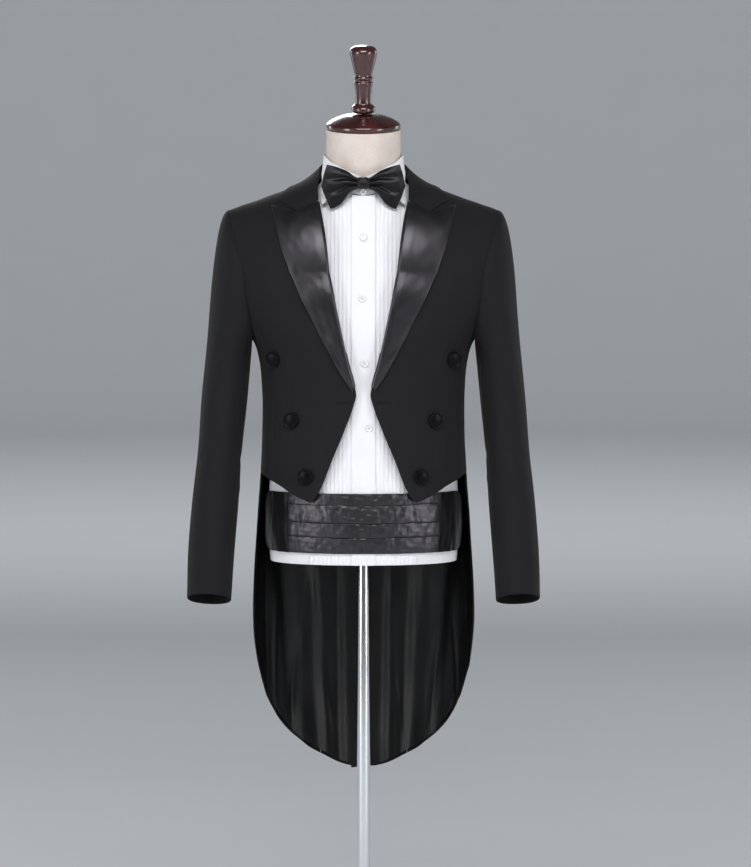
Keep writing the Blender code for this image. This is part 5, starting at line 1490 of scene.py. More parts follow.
def stitch_line(name, line, normals, material, slot, pitch=0.0028, length=0.0020, width=0.00042, sink=0.10):
    """A row of small raised stitches along a line of points."""
    steps = np.linalg.norm(np.diff(line, axis=0), axis=1)
    along = np.concatenate([[0.0], np.cumsum(steps)])
    centres = np.arange(pitch / 2, along[-1] - pitch / 2, pitch)
    points = []
    faces = []
    rings = ((-0.5, 0.25), (-0.36, 0.80), (0.0, 1.0), (0.36, 0.80), (0.5, 0.25))
    sides = 6
    for centre in centres:
        base = len(points)
        place = np.array([np.interp(centre, along, line[:, k]) for k in range(3)])
        ahead = np.array([np.interp(centre + 0.001, along, line[:, k]) for k in range(3)]) - place
        ahead = unit(ahead)
        up = unit(np.array([np.interp(centre, along, normals[:, k]) for k in range(3)]))
        across = unit(np.cross(ahead, up))
        for share, full in rings:
            middle = place + ahead * share * length + up * width * (full * 0.5 - sink)
            for k in range(sides):
                turn = 2 * math.pi * k / sides
                away = across * math.cos(turn) + up * math.sin(turn) * 0.8
                points.append(middle + away * width * 0.5 * full)
        for r in range(len(rings) - 1):
            for k in range(sides):
                after = (k + 1) % sides
                faces.append((base + r * sides + k, base + r * sides + after,
                              base + (r + 1) * sides + after, base + (r + 1) * sides + k))
        faces.append(tuple(base + k for k in range(sides))[::-1])
        faces.append(tuple(base + (len(rings) - 1) * sides + k for k in range(sides)))
    mesh = bpy.data.meshes.new(name)
    mesh.from_pydata([tuple(point) for point in points], [], faces)
    mesh.update()
    maker = bmesh.new()
    maker.from_mesh(mesh)
    bmesh.ops.recalc_face_normals(maker, faces=maker.faces)
    maker.to_mesh(mesh)
    maker.free()
    mesh.shade_smooth()
    mesh.materials.append(material)
    made = in_scene(name, mesh)
    return settle(made, slot)


def shirt_button_parts(materials, number, place):
    """A pearly button with a raised rim, a dished middle and four holes drawn as dark discs of painted shade,
    with thread through them.
    """
    radius = SHIRT_BUTTON_RADIUS
    profile = [
        (0.0, 0.0),
        (radius * 0.90, 0.0),
        (radius, 0.0005),
        (radius, 0.0014),
        (radius * 0.95, 0.0020),
        (radius * 0.86, 0.0022),
        (radius * 0.74, 0.0020),
        (radius * 0.62, 0.0016),
        (radius * 0.40, 0.00145),
        (0.0, 0.0014),
    ]
    # Each hole is a small dark disc set into the face: painted shade where the hole would be.
    hole = [
        (0.0, 0.00128),
        (0.00066, 0.00128),
        (0.00066, 0.00152),
        (0.00050, 0.00150),
        (0.00046, 0.00140),
        (0.0, 0.00138),
    ]
    outline = rounded_profile(profile, 4, 0.3)
    body = turned_object(f"pearl_button_{number}", outline, 56, materials["pearl"], place)
    settle(body, "pearl", f"shirt_button_{number}")
    reach = radius * 0.24
    for k in range(4):
        turn = math.pi / 4 + k * math.pi / 2
        spot = Matrix.Translation((reach * math.cos(turn), reach * math.sin(turn), 0.0))
        made = turned_object(f"painted_hole_shade_{number}_{k + 1}", hole, 16, materials["hole"], place @ spot)
        settle(made, "pearl")
    for k in range(2):
        points = []
        for t in np.linspace(0.0, 1.0, 9):
            x = reach * 1.10 * math.cos(math.pi / 4) * (2 * t - 1)
            y = reach * math.sin(math.pi / 4) * (1 if k else -1)
            points.append(place @ Vector((x, y, 0.00150 + 0.00042 * math.sin(math.pi * t))))
        curve = bpy.data.curves.new(f"button_thread_{number}_{k + 1}", "CURVE")
        curve.dimensions = "3D"
        curve.bevel_depth = 0.00026
        curve.bevel_resolution = 2
        curve.use_fill_caps = True
        spline = curve.splines.new("POLY")
        spline.points.add(len(points) - 1)
        for spot, point in zip(spline.points, points):
            spot.co = (*point, 1.0)
        made = in_scene(curve.name, curve)
        curve.materials.append(materials["thread"])
        settle(made, "cotton")


def add_shirt_buttons(placket, materials):
    """Four buttons on the placket and one on the collar stand."""
    grid, normals = placket
    for number, (x, z) in enumerate(SHIRT_BUTTONS, 1):
        middle = np.array([[np.interp(x, row[:, 0], row[:, k]) for k in range(3)] for row in grid])
        facing = np.array([[np.interp(x, row[:, 0], side[:, k]) for k in range(3)]
                           for row, side in zip(grid, normals)])
        point = np.array([np.interp(z, middle[:, 2], middle[:, k]) for k in range(3)])
        normal = unit(np.array([np.interp(z, middle[:, 2], facing[:, k]) for k in range(3)]))
        shirt_button_parts(materials, number, facing_place(point + normal * SEAT_GAP, normal))
    collar = ring_point(0.0, STAND_RADIUS + SHIRT_WALL + SEAT_GAP, COLLAR_BUTTON_HEIGHT)
    shirt_button_parts(materials, 5, facing_place(collar, np.array([0.0, -1.0, 0.0])))


# Shirt collar and bow tie

def ring_point(turn, radius, height):
    return np.array([radius * math.sin(turn), NECK_MIDDLE_Y - radius * math.cos(turn), height])


def add_shirt_collar(materials):
    stand = []
    for turn in np.linspace(math.radians(0.6), math.radians(359.4), 121):
        from_front = min(turn, 2 * math.pi - turn)
        fold = smooth(COLLAR_RING, math.degrees(from_front))[0]
        foot = float(np.interp(from_front, NECK_FOOT_TURNS, NECK_FOOTS)) + STAND_FOOT
        low = ring_point(turn, STAND_RADIUS + SHIRT_WALL, foot)
        high = ring_point(turn, STAND_RADIUS + SHIRT_WALL, fold - 0.0012)
        stand.append([low + (high - low) * p for p in np.linspace(0.0, 1.0, 13)])
    stand = np.array(stand)
    outward = unit((stand - np.array([0, NECK_MIDDLE_Y, 0])) * np.array([1, 1, 0]))
    piece = cloth_shell("cloth_shirt_collar_stand", stand, outward, SHIRT_WALL, materials["cotton"])
    cloth(piece, "shirt_collar_stand", "laid", "cotton", "shirt_collar_stand")
    half = []
    for share in np.linspace(0.0, 1.0, 73):
        turn = LEAF_START + (math.pi - LEAF_START) * share
        fold = smooth(COLLAR_RING, math.degrees(turn))[0]
        top = ring_point(turn, LEAF_TOP_RADIUS, fold)
        edge = smooth(LEAF_EDGE, share)
        line = []
        for p in np.linspace(0.0, 1.0, 19):
            point = top + (edge - top) * p
            radial = (point - np.array([0, NECK_MIDDLE_Y, 0])) * np.array([1, 1, 0])
            roll = min(1.0, p / 0.10)
            least = LEAF_TOP_RADIUS - 0.0010 * (1 - roll) ** 2 + LEAF_SPREAD * p
            reach = max(least, np.linalg.norm(radial)) + SHIRT_WALL
            line.append(np.array([0, NECK_MIDDLE_Y, point[2]]) + unit(radial) * reach)
        half.append(line)
    leaf = both_halves(np.array(half), np.array(half))
    outward = unit((leaf - np.array([0, NECK_MIDDLE_Y, 0])) * np.array([1, 1, 0]))
    piece = cloth_shell("cloth_shirt_collar_leaf", leaf, outward, SHIRT_WALL, materials["cotton"])
    cloth(piece, "shirt_collar_leaf", "folded", "cotton", "shirt_collar_leaf",
          rests_on="cloth_shirt_collar_stand")
    normal = grid_normals(leaf, outward)
    stitch_line("stitches_collar", leaf[:, -3], normal[:, -3], materials["thread"], "cotton")


def bow_wing(rows, columns, side):
    """Front and back grids of one wing; two folds spread from the knot on either side of a ridge."""
    front, back = [], []
    spread = np.sin(np.linspace(-0.5, 0.5, columns + 1) * math.pi)
    ends = np.interp(spread, *np.array(BOW_END).T)
    for share in np.linspace(0.0, 1.0, rows + 1):
        low, high, half = smooth(BOW_SECTIONS, share)
        x = BOW_START + (ends - BOW_START) * share
        z = TIE_MIDDLE + (low + high) / 2 + spread * (high - low) / 2
        swell = half * (1 - np.abs(spread) ** 4) + BOW_EDGE
        upper = 0.44 + 0.05 * share * side
        lower = -0.34 + 0.10 * share
        valley = np.exp(-(((spread - upper) / BOW_FOLD_WIDTH) ** 2))
        valley = valley + np.exp(-(((spread - lower) / BOW_FOLD_WIDTH) ** 2))
        folds = valley * (BOW_FOLD_DEPTH * (1 - share) ** 0.7 + 0.16)
        ridge = 0.16 * np.exp(-(((spread - 0.04) / 0.16) ** 2)) * (1 - share)
        crumple = 0.00022 * rough_noise(np.stack([x, z], axis=-1), 0.016, 101 + side)
        lean = BOW_LEAN * share**2
        y = TIE_FRONT_Y + lean - swell * (1 - folds + ridge) + crumple
        front.append(np.stack([x, y, z], axis=-1))
        back.append(np.stack([x, TIE_FRONT_Y + lean + 0.6 * swell, z], axis=-1))
    return np.array(front), np.array(back)


def add_bow_tie(materials):
    for side, hand in ((-1, "right"), (1, "left")):
        front, back = bow_wing(72, 56, side)
        name = f"bow_wing_{hand}"
        piece = shell_object(f"cloth_{name}", front, back, materials["satin_bow"], side)
        cloth(piece, "bow_wing", "folded", "satin", name, rests_on="bow_tie_knot")
    maker = bmesh.new()
    bmesh.ops.create_uvsphere(maker, u_segments=72, v_segments=48, radius=1.0)
    for vert in maker.verts:
        squared = [math.copysign(abs(value) ** 0.8, value) for value in vert.co]
        x, y, z = (half * value for half, value in zip(KNOT_HALF, squared))
        waist = 1 - 0.16 * max(0.0, 1 - abs(squared[0])) ** 1.5
        z *= waist
        gather = math.sin(z * 1150 + 1.3 + 40 * x) * 0.6 + math.sin(z * 2100 - 60 * x) * 0.35
        y -= 0.00060 * gather * max(0.0, -vert.co.y)
        vert.co = Vector((x, y, z))
    bmesh.ops.translate(maker, vec=(0, TIE_FRONT_Y, TIE_MIDDLE), verts=maker.verts)
    mesh = bpy.data.meshes.new("bow_tie_knot")
    maker.to_mesh(mesh)
    maker.free()
    mesh.shade_smooth()
    mesh.materials.append(materials["satin_bow"])
    knot = in_scene("bow_tie_knot", mesh)
    settle(knot, "satin", "bow_knot")


# Cummerbund, laid over the shirt

# Across one fold, from its lower edge up: share of its height, how far it stands out
FOLD_PROFILE = (
    (0.000, 0.05),
    (0.030, 0.40),
    (0.120, 0.66),
    (0.350, 0.84),
    (0.700, 0.95),
    (0.930, 1.00),
    (0.985, 0.97),
    (1.000, 0.90),
)
CUMMERBUND_CREASES = (
    (0, 0.000, 0.905, 0.050, 0.0035, 78, 0.002, -0.0007),
    (0, 0.022, 0.898, 0.030, 0.0030, 64, 0.001, 0.0007),
    (0, -0.030, 0.893, 0.040, 0.0035, 102, 0.001, 0.0007),
    (0, 0.060, 0.900, 0.045, 0.0035, 72, 0.002, -0.0008),
    (0, -0.062, 0.903, 0.040, 0.0030, 110, 0.002, -0.0008),
    (0, 0.086, 0.890, 0.050, 0.0035, 98, 0.002, 0.0009),
    (0, -0.090, 0.886, 0.045, 0.0035, 80, 0.002, 0.0009),
    (0, 0.012, 0.872, 0.035, 0.0040, 20, 0.002, 0.0006),
    (0, -0.046, 0.870, 0.040, 0.0035, -16, 0.002, -0.0006),
    (0, 0.048, 0.866, 0.040, 0.0035, 62, 0.002, 0.0007),
    (0, 0.100, 0.866, 0.040, 0.0030, 84, 0.002, -0.0008),
    (0, -0.102, 0.868, 0.045, 0.0030, 97, 0.002, -0.0008),
    (0, -0.012, 0.848, 0.030, 0.0030, 74, 0.002, 0.0006),
    (0, 0.070, 0.846, 0.035, 0.0035, 104, 0.002, 0.0006),
    (0, -0.074, 0.848, 0.035, 0.0035, 66, 0.002, 0.0006),
)


def add_band(name, u, z, side, materials, cut, seed):
    """A plain part of the cummerbund over the form's own angles and heights."""
    normal = surface_normal(form_surface, u, z)
    waver = 0.0005 * rough_noise(np.stack([u * 0.25, z * 0.5], axis=-1), 0.030, seed)
    lift = CUMMERBUND_OFF + SATIN_WALL + CUMMERBUND_EXTRA + waver
    grid = drawn_in(form_surface(u, z) + normal * lift[..., None], "left right")
    # The sides and strap take the darker, duller satin copy, painted shade for parts that turn away from the
    # front lights.
    piece = cloth_shell(f"cloth_{name}", grid, normal, SATIN_WALL, materials["satin_side"], side)
    cloth(piece, cut, "stretched", "satin", name, rests_on="cloth_shirt_back")


def add_cummerbund(materials):
    """Folded front between two seams, a plain narrowing part at each side and a strap round the back."""
    middle = (CUMMERBUND_TOP + CUMMERBUND_BOTTOM) / 2
    full = CUMMERBUND_TOP - CUMMERBUND_BOTTOM
    edges = [CUMMERBUND_BOTTOM, *CUMMERBUND_FOLDS[::-1], CUMMERBUND_TOP + 0.004]
    z = np.linspace(CUMMERBUND_BOTTOM, CUMMERBUND_TOP, 80)
    for fold in CUMMERBUND_FOLDS:
        z = np.append(z, fold + np.array([-0.0016, -0.0009, -0.0002, 0.0001, 0.0007]))
    z = np.sort(z)
    x = np.linspace(-CUMMERBUND_SEAM_X, CUMMERBUND_SEAM_X, 110)
    plan = np.stack(np.broadcast_arrays(x[None, :], z[:, None]), axis=-1)
    sag = 0.0016 * (1 - (x / CUMMERBUND_SEAM_X) ** 2)
    fold_table = np.array(FOLD_PROFILE)
    raised = np.zeros(plan.shape[:2])
    for low, high in zip(edges, edges[1:]):
        droop = 0.0 if low == CUMMERBUND_BOTTOM else 1.0
        waver = 0.0005 * rough_noise(np.stack([x, 0 * x], axis=-1), 0.05, int(low * 1000))
        bottom = low - droop * sag + droop * waver
        ceiling = high - sag + waver
        share = (plan[..., 1] - bottom) / (ceiling - bottom)
        inside = (share >= 0) & (share < 1)
        raised = np.where(inside, np.interp(share, fold_table[:, 0], fold_table[:, 1]), raised)
    crumple = creases(plan[..., 0], plan[..., 1], CUMMERBUND_CREASES)
    crumple = crumple + 0.00026 * rough_noise(plan * np.array([1.0, 1.2]), 0.014, 111)
    lift = CUMMERBUND_OFF + SATIN_WALL + CUMMERBUND_STEP * raised + crumple
    grid, normal = on_form(plan, lift, 1)
    piece = cloth_shell("cloth_cummerbund_front", drawn_in(grid, "left right"), normal, SATIN_WALL,
                        materials["satin_waist"])
    cloth(piece, "cummerbund_front", "folded", "satin", "cummerbund_front", rests_on="cloth_shirt_front_left")
    for side, hand in ((-1, "right"), (1, "left")):
        start = float(form_angle(np.array(CUMMERBUND_SEAM_X), np.array(middle)))
        u = np.linspace(start, CUMMERBUND_SIDE_END, 48)[None, :]
        narrowing = ease(u, CUMMERBUND_SIDE_TURN, CUMMERBUND_SIDE_END) * (full - CUMMERBUND_STRAP_HEIGHT) / 2
        share = np.linspace(0.0, 1.0, 36)[:, None]
        z = (CUMMERBUND_BOTTOM + narrowing) * (1 - share) + (CUMMERBUND_TOP - narrowing) * share
        u, z = np.broadcast_arrays(u, z)
        u = u.copy()
        u[:, 0] = form_angle(np.full(len(z), CUMMERBUND_SEAM_X), z[:, 0])
        add_band(f"cummerbund_side_{hand}", u, z, side, materials, "cummerbund_side", 121 + side)
    u = np.linspace(CUMMERBUND_SIDE_END, 2 * math.pi - CUMMERBUND_SIDE_END, 96)[None, :]
    z = middle + CUMMERBUND_STRAP_HEIGHT * np.linspace(-0.5, 0.5, 16)[:, None]
    add_band("cummerbund_strap", *np.broadcast_arrays(u, z), 1, materials, "cummerbund_strap", 131)


# Stand

def add_stand(materials):
    cap_place = Matrix.Translation((0, NECK_TOP_Y, NECK_TOP)) @ Matrix.Rotation(NECK_TILT, 4, "X")
    cap = (
        (0.0, SEAT_GAP),
        (CAP_RADIUS - 0.003, SEAT_GAP),
        (CAP_RADIUS, 0.003),
        (CAP_RADIUS, 0.008),
        (CAP_RADIUS - 0.003, 0.0115),
        (0.046, 0.0175),
        (0.029, 0.0235),
        (0.0, 0.0255),
    )
    piece = turned_object("turned_cap", rounded_profile(cap, 7, 0.42), 96, materials["wood"], cap_place)
    settle(piece, "wood", "neck_cap")
    finial = (
        (0.0, 0.0258),
        (0.0165, 0.0258),
        (0.0192, 0.0298),
        (0.0192, 0.0345),
        (0.0165, 0.0385),
        (0.0130, 0.0405),
        (0.0125, 0.0500),
        (0.0140, 0.0680),
        (0.0160, 0.0750),
        (0.0132, 0.0785),
        (0.0165, 0.0820),
        (0.0135, 0.0862),
        (0.0162, 0.0950),
        (0.0212, 0.1170),
        (0.0225, 0.1240),
        (0.0205, 0.1295),
        (0.0144, 0.1335),
        (0.0, 0.1345),
    )
    piece = turned_object("turned_finial", rounded_profile(finial, 7, 0.45), 72, materials["wood"], cap_place)
    settle(piece, "wood", "finial")
    pole = (
        (0.0, POLE_FOOT),
        (POLE_RADIUS, POLE_FOOT),
        (POLE_RADIUS, FORM_BOTTOM - SEAT_GAP),
        (0.0, FORM_BOTTOM - SEAT_GAP),
    )
    settle(turned_object("chrome_pole", pole, 96, materials["chrome"]), "chrome", "pole")
    base = (
        (0.0, 0.0),
        (BASE_RADIUS - 0.002, 0.0),
        (BASE_RADIUS, 0.002),
        (BASE_RADIUS, 0.009),
        (BASE_RADIUS - 0.004, 0.0125),
        (0.060, POLE_FOOT - SEAT_GAP),
        (0.0, POLE_FOOT - SEAT_GAP),
    )
    settle(turned_object("round_base", rounded_profile(base, 5, 0.3), 160, materials["base_metal"]),
           "base_metal", "base")


# Materials

class Shader:
    """A material with its Principled shader and a short way to add nodes."""

    def __init__(self, name, colour, roughness, metallic=0.0, **sockets):
        self.material = bpy.data.materials.new(name)
        self.material.use_nodes = True
        self.tree = self.material.node_tree
        self.bsdf = self.tree.nodes["Principled BSDF"]
        self.bsdf.inputs["Base Color"].default_value = (*colour, 1.0)
        self.bsdf.inputs["Roughness"].default_value = roughness
        self.bsdf.inputs["Metallic"].default_value = metallic
        for socket, value in sockets.items():
            self.bsdf.inputs[socket.replace("_", " ")].default_value = value
        weave = self.tree.nodes.new("ShaderNodeAttribute")
        weave.attribute_name = "weave"
        self.weave = weave.outputs["Vector"]
        self.place = self.tree.nodes.new("ShaderNodeTexCoord").outputs["Object"]

    def node(self, kind, inputs=(), **settings):
        made = self.tree.nodes.new(kind)
        for key, value in settings.items():
            setattr(made, key, value)
        for key, value in dict(inputs).items():
            if isinstance(value, bpy.types.NodeSocket):
                self.tree.links.new(value, made.inputs[key])
            else:
                made.inputs[key].default_value = value
        return made

    def scaled(self, source, scale, turn=0.0):
        """Coordinates stretched by a scale and turned about Z by an angle in degrees."""
        inputs = {"Vector": source, "Scale": scale, "Rotation": (0.0, 0.0, math.radians(turn))}
        return self.node("ShaderNodeMapping", inputs).outputs["Vector"]

    def noise(self, source, scale, detail=2.0, roughness=0.5):
        inputs = {"Vector": source, "Scale": scale, "Detail": detail, "Roughness": roughness}
        return self.node("ShaderNodeTexNoise", inputs).outputs["Fac"]

    def waves(self, source, scale, direction="X", distortion=0.0):
        inputs = {"Vector": source, "Scale": scale, "Distortion": distortion, "Detail": 1.0}
        return self.node("ShaderNodeTexWave", inputs, bands_direction=direction).outputs["Fac"]

    def ranged(self, value, low, high, from_low=0.0, from_high=1.0):
        inputs = {"Value": value, "From Min": from_low, "From Max": from_high, "To Min": low, "To Max": high}
        return self.node("ShaderNodeMapRange", inputs).outputs["Result"]

    def mixed(self, factor, first, second):
        made = self.node("ShaderNodeMix", data_type="RGBA")
        self.tree.links.new(factor, made.inputs[0])
        made.inputs[6].default_value = (*first, 1.0)
        made.inputs[7].default_value = (*second, 1.0)
        return made.outputs[2]

    def math(self, operation, first, second):
        inputs = {0: first, 1: second}
        return self.node("ShaderNodeMath", inputs, operation=operation).outputs[0]

    def bump(self, height, strength, distance, before=None):
        inputs = {"Height": height, "Strength": strength, "Distance": distance}
        if before is not None:
            inputs["Normal"] = before
        return self.node("ShaderNodeBump", inputs).outputs["Normal"]

    def set(self, socket, source):
        self.tree.links.new(source, self.bsdf.inputs[socket])


def wool():
    """Black worsted: fine diagonal twill, faint flecks and a dull nap."""
    made = Shader("wool", (0.012, 0.012, 0.013), 0.80, Specular_IOR_Level=0.10, Sheen_Weight=0.03,
                  Sheen_Roughness=0.45)
    flecks = made.noise(made.scaled(made.weave, (900.0, 520.0, 1.0)), 1.0, 3.0, 0.6)
    cloud = made.noise(made.weave, 14.0, 3.0)
    tone = made.math("ADD", made.math("MULTIPLY", flecks, 0.7), made.math("MULTIPLY", cloud, 0.3))
    made.set("Base Color", made.mixed(made.ranged(tone, 0.0, 1.0, 0.3, 0.7), (0.0094, 0.0092, 0.0102),
                                      (0.0186, 0.0182, 0.0198)))
    made.set("Roughness", made.ranged(cloud, 0.72, 0.84, 0.3, 0.7))
    twill = made.waves(made.scaled(made.weave, (1.0, 1.0, 1.0), 27.0), 340.0, "X", 0.6)
    nap = made.bump(flecks, 0.25, 0.00025)
    weave = made.bump(twill, 0.35, 0.00018, nap)
    soft = made.noise(made.weave, 9.0, 2.0)
    made.set("Normal", made.bump(soft, 0.30, 0.0035, weave))
    return made.material


def satin(name, crinkle, roughness, base=0.0045, size=26.0, shine=0.62, run=(1.0, 0.65, 1.0)):
    """Black satin: smooth floats that catch the light, with small crinkles."""
    made = Shader(name, (base, base, base * 1.15), roughness, Specular_IOR_Level=shine, Anisotropic=0.35)
    made.bsdf.inputs["Specular Tint"].default_value = (0.97, 0.92, 1.0, 1.0)
    made.bsdf.inputs["Sheen Weight"].default_value = 0.04
    cloud = made.noise(made.weave, 18.0, 3.0)
    dark = (base * 0.8, base * 0.8, base * 0.9)
    light = (base * 1.4, base * 1.35, base * 1.6)
    made.set("Base Color", made.mixed(made.ranged(cloud, 0.0, 1.0, 0.3, 0.7), dark, light))
    made.set("Roughness", made.ranged(cloud, roughness - 0.04, roughness + 0.05, 0.3, 0.7))
    floats = made.waves(made.scaled(made.weave, (1.0, 1.0, 1.0), 90.0), 900.0, "X", 0.4)
    weave = made.bump(floats, 0.12, 0.00008)
    fine = made.noise(made.scaled(made.weave, run, 8.0), size * 3.6, 3.0, 0.55)
    broad = made.noise(made.scaled(made.weave, run, -12.0), size, 2.0, 0.5)
    small = made.bump(fine, 0.35 * crinkle, 0.0011, weave)
    made.set("Normal", made.bump(broad, 0.60 * crinkle, 0.0042, small))
    return made.material


def lining():
    """Dark lining satin with warp threads that run down the tail."""
    made = Shader("lining", (0.002, 0.002, 0.0024), 0.30, Specular_IOR_Level=0.23, Anisotropic=0.4)
    cloud = made.noise(made.scaled(made.weave, (1.0, 0.35, 1.0)), 22.0, 3.0)
    made.set("Base Color", made.mixed(made.ranged(cloud, 0.0, 1.0, 0.3, 0.7), (0.0012, 0.0012, 0.0014),
                                      (0.0030, 0.0029, 0.0034)))
    made.set("Roughness", made.ranged(cloud, 0.27, 0.35, 0.3, 0.7))
    floats = made.waves(made.weave, 700.0, "X", 0.5)
    weave = made.bump(floats, 0.15, 0.0001)
    drape = made.noise(made.scaled(made.weave, (1.0, 0.22, 1.0)), 24.0, 3.0)
    made.set("Normal", made.bump(drape, 0.5, 0.004, weave))
    return made.material


def cotton():
    """White shirt cotton in a fine plain weave."""
    made = Shader("cotton", (0.82, 0.82, 0.85), 0.80, Specular_IOR_Level=0.25, Sheen_Weight=0.08)
    cloud = made.noise(made.weave, 12.0, 3.0)
    made.set("Base Color", made.mixed(made.ranged(cloud, 0.0, 1.0, 0.3, 0.7), (0.80, 0.80, 0.845),
                                      (0.84, 0.84, 0.865)))
    made.set("Roughness", made.ranged(cloud, 0.75, 0.86, 0.3, 0.7))
    warp = made.waves(made.weave, 480.0, "X", 0.2)
    weft = made.waves(made.weave, 480.0, "Y", 0.2)
    threads = made.bump(made.math("MULTIPLY", warp, weft), 0.30, 0.00015)
    soft = made.noise(made.scaled(made.weave, (1.0, 0.45, 1.0)), 30.0, 2.0)
    made.set("Normal", made.bump(soft, 0.25, 0.0016, threads))
    return made.material


def thread():
    """Twisted white sewing thread, darker in the grooves of its twist as painted shade."""
    made = Shader("thread", (0.84, 0.84, 0.86), 0.60, Specular_IOR_Level=0.3, Sheen_Weight=0.1)
    twist = made.waves(made.scaled(made.place, (1.0, 1.0, 1.0), 35.0), 1500.0, "Z", 0.3)
    # Painted shade: the colour follows the twist's bump, darker in its grooves.
    made.set("Base Color", made.mixed(twist, (0.74, 0.74, 0.77), (0.88, 0.88, 0.90)))
    made.set("Normal", made.bump(twist, 0.4, 0.0001))
    return made.material


def wool_thread():
    """Twisted black sewing thread, darker in the grooves of its twist as painted shade."""
    made = Shader("wool_thread", (0.008, 0.008, 0.009), 0.55, Specular_IOR_Level=0.3)
    twist = made.waves(made.scaled(made.place, (1.0, 1.0, 1.0), 35.0), 1500.0, "Z", 0.3)
    # Painted shade: the colour follows the twist's bump, darker in its grooves.
    made.set("Base Color", made.mixed(twist, (0.004, 0.004, 0.005), (0.014, 0.014, 0.016)))
    made.set("Normal", made.bump(twist, 0.4, 0.0001))
    return made.material


def pearl():
    """White pearly button with cloudy depth."""
    made = Shader("pearl", (0.84, 0.84, 0.86), 0.16, Specular_IOR_Level=0.6, Coat_Weight=0.6,
                  Coat_Roughness=0.08)
    swirl = made.noise(made.place, 420.0, 4.0, 0.6)
    made.set("Base Color", made.mixed(made.ranged(swirl, 0.0, 1.0, 0.3, 0.7), (0.62, 0.63, 0.68),
                                      (0.90, 0.89, 0.88)))
    made.set("Roughness", made.ranged(swirl, 0.12, 0.26, 0.3, 0.7))
    return made.material


# Painted shade: the dark grey stands for the shade inside the shirt buttons' holes.
def painted_hole_shade():
    made = Shader("painted_hole_shade", (0.10, 0.10, 0.11), 0.6)
    made.set("Base Color", made.mixed(made.noise(made.place, 900.0), (0.06, 0.06, 0.07), (0.16, 0.16, 0.17)))
    return made.material


def linen():
    """Cream cover of the dress form, a plain weave with slubs and faint mottling."""
    made = Shader("linen", (0.76, 0.67, 0.62), 0.78, Specular_IOR_Level=0.3, Sheen_Weight=0.06)
    slubs = made.noise(made.scaled(made.weave, (1.0, 7.0, 1.0)), 120.0, 4.0, 0.6)
    mottle = made.noise(made.place, 26.0, 4.0, 0.6)
    tone = made.math("ADD", made.math("MULTIPLY", slubs, 0.45), made.math("MULTIPLY", mottle, 0.55))
    made.set("Base Color", made.mixed(made.ranged(tone, 0.0, 1.0, 0.35, 0.65), (0.60, 0.51, 0.455),
                                      (0.73, 0.65, 0.61)))
    made.set("Roughness", made.ranged(mottle, 0.70, 0.86, 0.3, 0.7))
    warp = made.waves(made.weave, 260.0, "X", 0.5)
    weft = made.waves(made.weave, 260.0, "Y", 0.5)
    threads = made.bump(made.math("MULTIPLY", warp, weft), 0.35, 0.0002)
    made.set("Normal", made.bump(slubs, 0.25, 0.0003, threads))
    return made.material


def wood():
    """Dark red lacquered wood with a streaky grain under a clear coat."""
    made = Shader("wood", (0.045, 0.006, 0.006), 0.30, Specular_IOR_Level=0.5, Coat_Weight=1.0,
                  Coat_Roughness=0.05)
    grain = made.noise(made.scaled(made.place, (60.0, 60.0, 9.0)), 1.0, 5.0, 0.65)
    streak = made.noise(made.scaled(made.place, (420.0, 420.0, 30.0)), 1.0, 3.0, 0.6)
    tone = made.math("ADD", made.math("MULTIPLY", grain, 0.7), made.math("MULTIPLY", streak, 0.3))
    made.set("Base Color", made.mixed(made.ranged(tone, 0.0, 1.0, 0.35, 0.65), (0.012, 0.0022, 0.0026),
                                      (0.075, 0.0090, 0.0085)))
    made.set("Roughness", made.ranged(grain, 0.24, 0.40, 0.3, 0.7))
    made.set("Normal", made.bump(streak, 0.08, 0.0002))
    return made.material


def chrome():
    """Polished tube with faint drawn lines."""
    made = Shader("chrome", (0.80, 0.81, 0.83), 0.09, 1.0)
    lines = made.noise(made.scaled(made.place, (600.0, 600.0, 4.0)), 1.0, 3.0)
    smudge = made.noise(made.place, 20.0, 3.0)
    made.set("Base Color", made.mixed(smudge, (0.74, 0.75, 0.77), (0.84, 0.85, 0.87)))
    made.set("Roughness", made.ranged(smudge, 0.06, 0.14, 0.3, 0.7))
    made.set("Normal", made.bump(lines, 0.05, 0.0001))
    return made.material


def base_metal():
    """Powder-coated steel plate."""
    made = Shader("base_metal", (0.045, 0.045, 0.05), 0.42, 0.3)
    grain = made.noise(made.place, 900.0, 2.0)
    wear = made.noise(made.place, 12.0, 4.0)
    made.set("Base Color", made.mixed(made.ranged(wear, 0.0, 1.0, 0.35, 0.65), (0.036, 0.036, 0.040),
                                      (0.060, 0.060, 0.066)))
    made.set("Roughness", made.ranged(wear, 0.36, 0.52, 0.3, 0.7))
    made.set("Normal", made.bump(grain, 0.25, 0.0003))
    return made.material


def make_materials():
    return {
        "wool": wool(),
        "satin_lapel": satin("satin_lapel", 0.26, 0.34, shine=0.66),
        # darker, duller copy of the cummerbund satin: painted shade for the sides and strap, which turn away
        # from the front lights
        "satin_side": satin("satin_side", 0.5, 0.34, base=0.0022, size=30.0, shine=0.30),
        "satin_waist": satin("satin_waist", 1.2, 0.36, size=46.0, shine=0.8, run=(1.0, 0.40, 1.0)),
        "satin_bow": satin("satin_bow", 0.4, 0.40, base=0.0036, shine=0.28),
        # darkest, dullest copy of the satin: painted shade for button faces that turn down from the lights
        "satin_button": satin("satin_button", 0.4, 0.34, base=0.0008, size=60.0, shine=0.12),
        "lining": lining(),
        "cotton": cotton(),
        "thread": thread(),
        "wool_thread": wool_thread(),
        "pearl": pearl(),
        # painted shade for the holes of the shirt buttons
        "hole": painted_hole_shade(),
        "linen": linen(),
        "wood": wood(),
        "chrome": chrome(),
        "base_metal": base_metal(),
    }


# Studio

FLOOR_RADIUS = 17.0
WALL_RADIUS = 24.0
WALL_HEIGHT = 9.0
